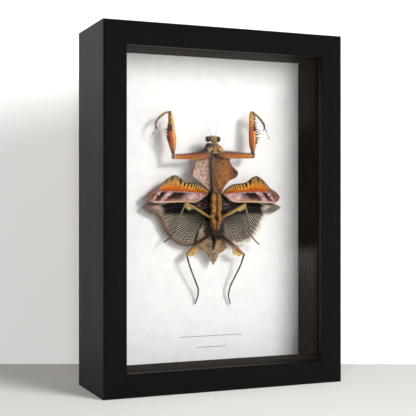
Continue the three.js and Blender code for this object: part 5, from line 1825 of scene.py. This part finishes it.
# %% [markdown]
# ## Light
# Soft daylight from the right and above throws the insect's shadow on the backing, down and to the
# left, and leaves the backing's right and top edges in the frame's shade. One lamp didn't give
# both here, so each lamp lights only some objects, and only some objects block it. The key lamp
# lights the insect, the backing and the inner walls; the frame doesn't block it, and a hidden card
# keeps it off the two edges. A weak window lamp lights everything from the front, another fills the
# frame's back, two light the floor and wall, and the pale surroundings fill the rest.


# %% The card beside the key lamp
CARD_FRONT = 40 * MM     # how far before the backing the card stands
CARD_REACH = 0.5         # how far the card reaches past the lit part
LIT_CORNER = Vector((44.2 * MM, MAT_FACE, 160.6 * MM))   # the backing is lit up to here


def shade_card(source):
    """A dark card that keeps the key lamp off the backing's right and top edges."""
    corner = LIT_CORNER.lerp(source.location, CARD_FRONT / (MAT_FACE - source.location.y))
    right, y, top = corner
    mesh = bpy.data.meshes.new("edge_card")
    corners = [(right, y, -CARD_REACH), (right + CARD_REACH, y, -CARD_REACH),
               (right + CARD_REACH, y, top + CARD_REACH), (right, y, top),
               (right - CARD_REACH, y, top), (right - CARD_REACH, y, top + CARD_REACH)]
    mesh.from_pydata(corners, [], [(0, 1, 2, 3), (3, 2, 5, 4)])
    card = bpy.data.objects.new("edge_card", mesh)
    mesh.materials.append(floor_finish)
    bpy.context.scene.collection.objects.link(card)
    for rays in ("camera", "diffuse", "glossy", "transmission"):
        setattr(card, f"visible_{rays}", False)
    return card


print("the card stands", round(CARD_FRONT / MM), "mm before the backing")


# %% Lamps
def lamp(name, turn, lift, distance, size, watts, target=Vector((0, 0, 0.09))):
    """An area lamp; turn is its angle to the right of the frame's front, lift its angle above."""
    turn, lift = math.radians(turn), math.radians(lift)
    away = Vector((math.sin(turn) * math.cos(lift), -math.cos(turn) * math.cos(lift), math.sin(lift)))
    data = bpy.data.lights.new(name, "AREA")
    data.shape = "DISK"
    data.size = size
    data.energy = watts
    made = bpy.data.objects.new(name, data)
    made.location = target + away * distance
    made.rotation_euler = (-away).to_track_quat("-Z", "Y").to_euler()
    bpy.context.scene.collection.objects.link(made)
    return made


def collection_of(name, pieces):
    made = bpy.data.collections.new(name)
    for piece in pieces:
        made.objects.link(piece)
    return made


insect = [p for p in bpy.context.scene.objects
          if p.type == "MESH" and p.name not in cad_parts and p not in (floor, wall)]
showcase = [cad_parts[n]
            for n in ("mat_board", "spacer_left", "spacer_right", "spacer_top", "spacer_bottom")]
key = lamp("key", turn=38, lift=27, distance=2.0, size=0.6, watts=29.5)
key.light_linking.blocker_collection = collection_of("key_shadows", [*insect, shade_card(key)])
key.light_linking.receiver_collection = collection_of("key_light", [*insect, *showcase])
object_shadows = collection_of("object_shadows", [*insect, *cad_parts.values()])
window = lamp("window", turn=16, lift=14, distance=1.0, size=0.45, watts=0.7)
window.light_linking.blocker_collection = object_shadows
back_fill = lamp("back_fill", turn=158, lift=24, distance=1.2, size=0.6, watts=7.0)
back_fill.light_linking.receiver_collection = collection_of("back_light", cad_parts.values())
back_fill.light_linking.blocker_collection = object_shadows
surround = collection_of("backdrop_light", [floor, wall])
for name, turn, lift, watts in (("backdrop_even", -25, 18, 18.0), ("backdrop_side", 30, 22, 34.0)):
    backdrop = lamp(name, turn, lift, distance=1.6, size=0.8, watts=watts)
    backdrop.light_linking.receiver_collection = surround
    backdrop.light_linking.blocker_collection = object_shadows

print("lamps:", [light.name for light in bpy.data.lights])

# %% Pale surroundings
SURROUNDINGS_STRENGTH = 0.17
world = bpy.data.worlds.new("surroundings")
world.use_nodes = True
background = world.node_tree.nodes["Background"]
background.inputs["Color"].default_value = tint("f6f5f3")
background.inputs["Strength"].default_value = SURROUNDINGS_STRENGTH
bpy.context.scene.world = world
print("surroundings at strength", SURROUNDINGS_STRENGTH)

# %% [markdown] The looks must not change the object's size.
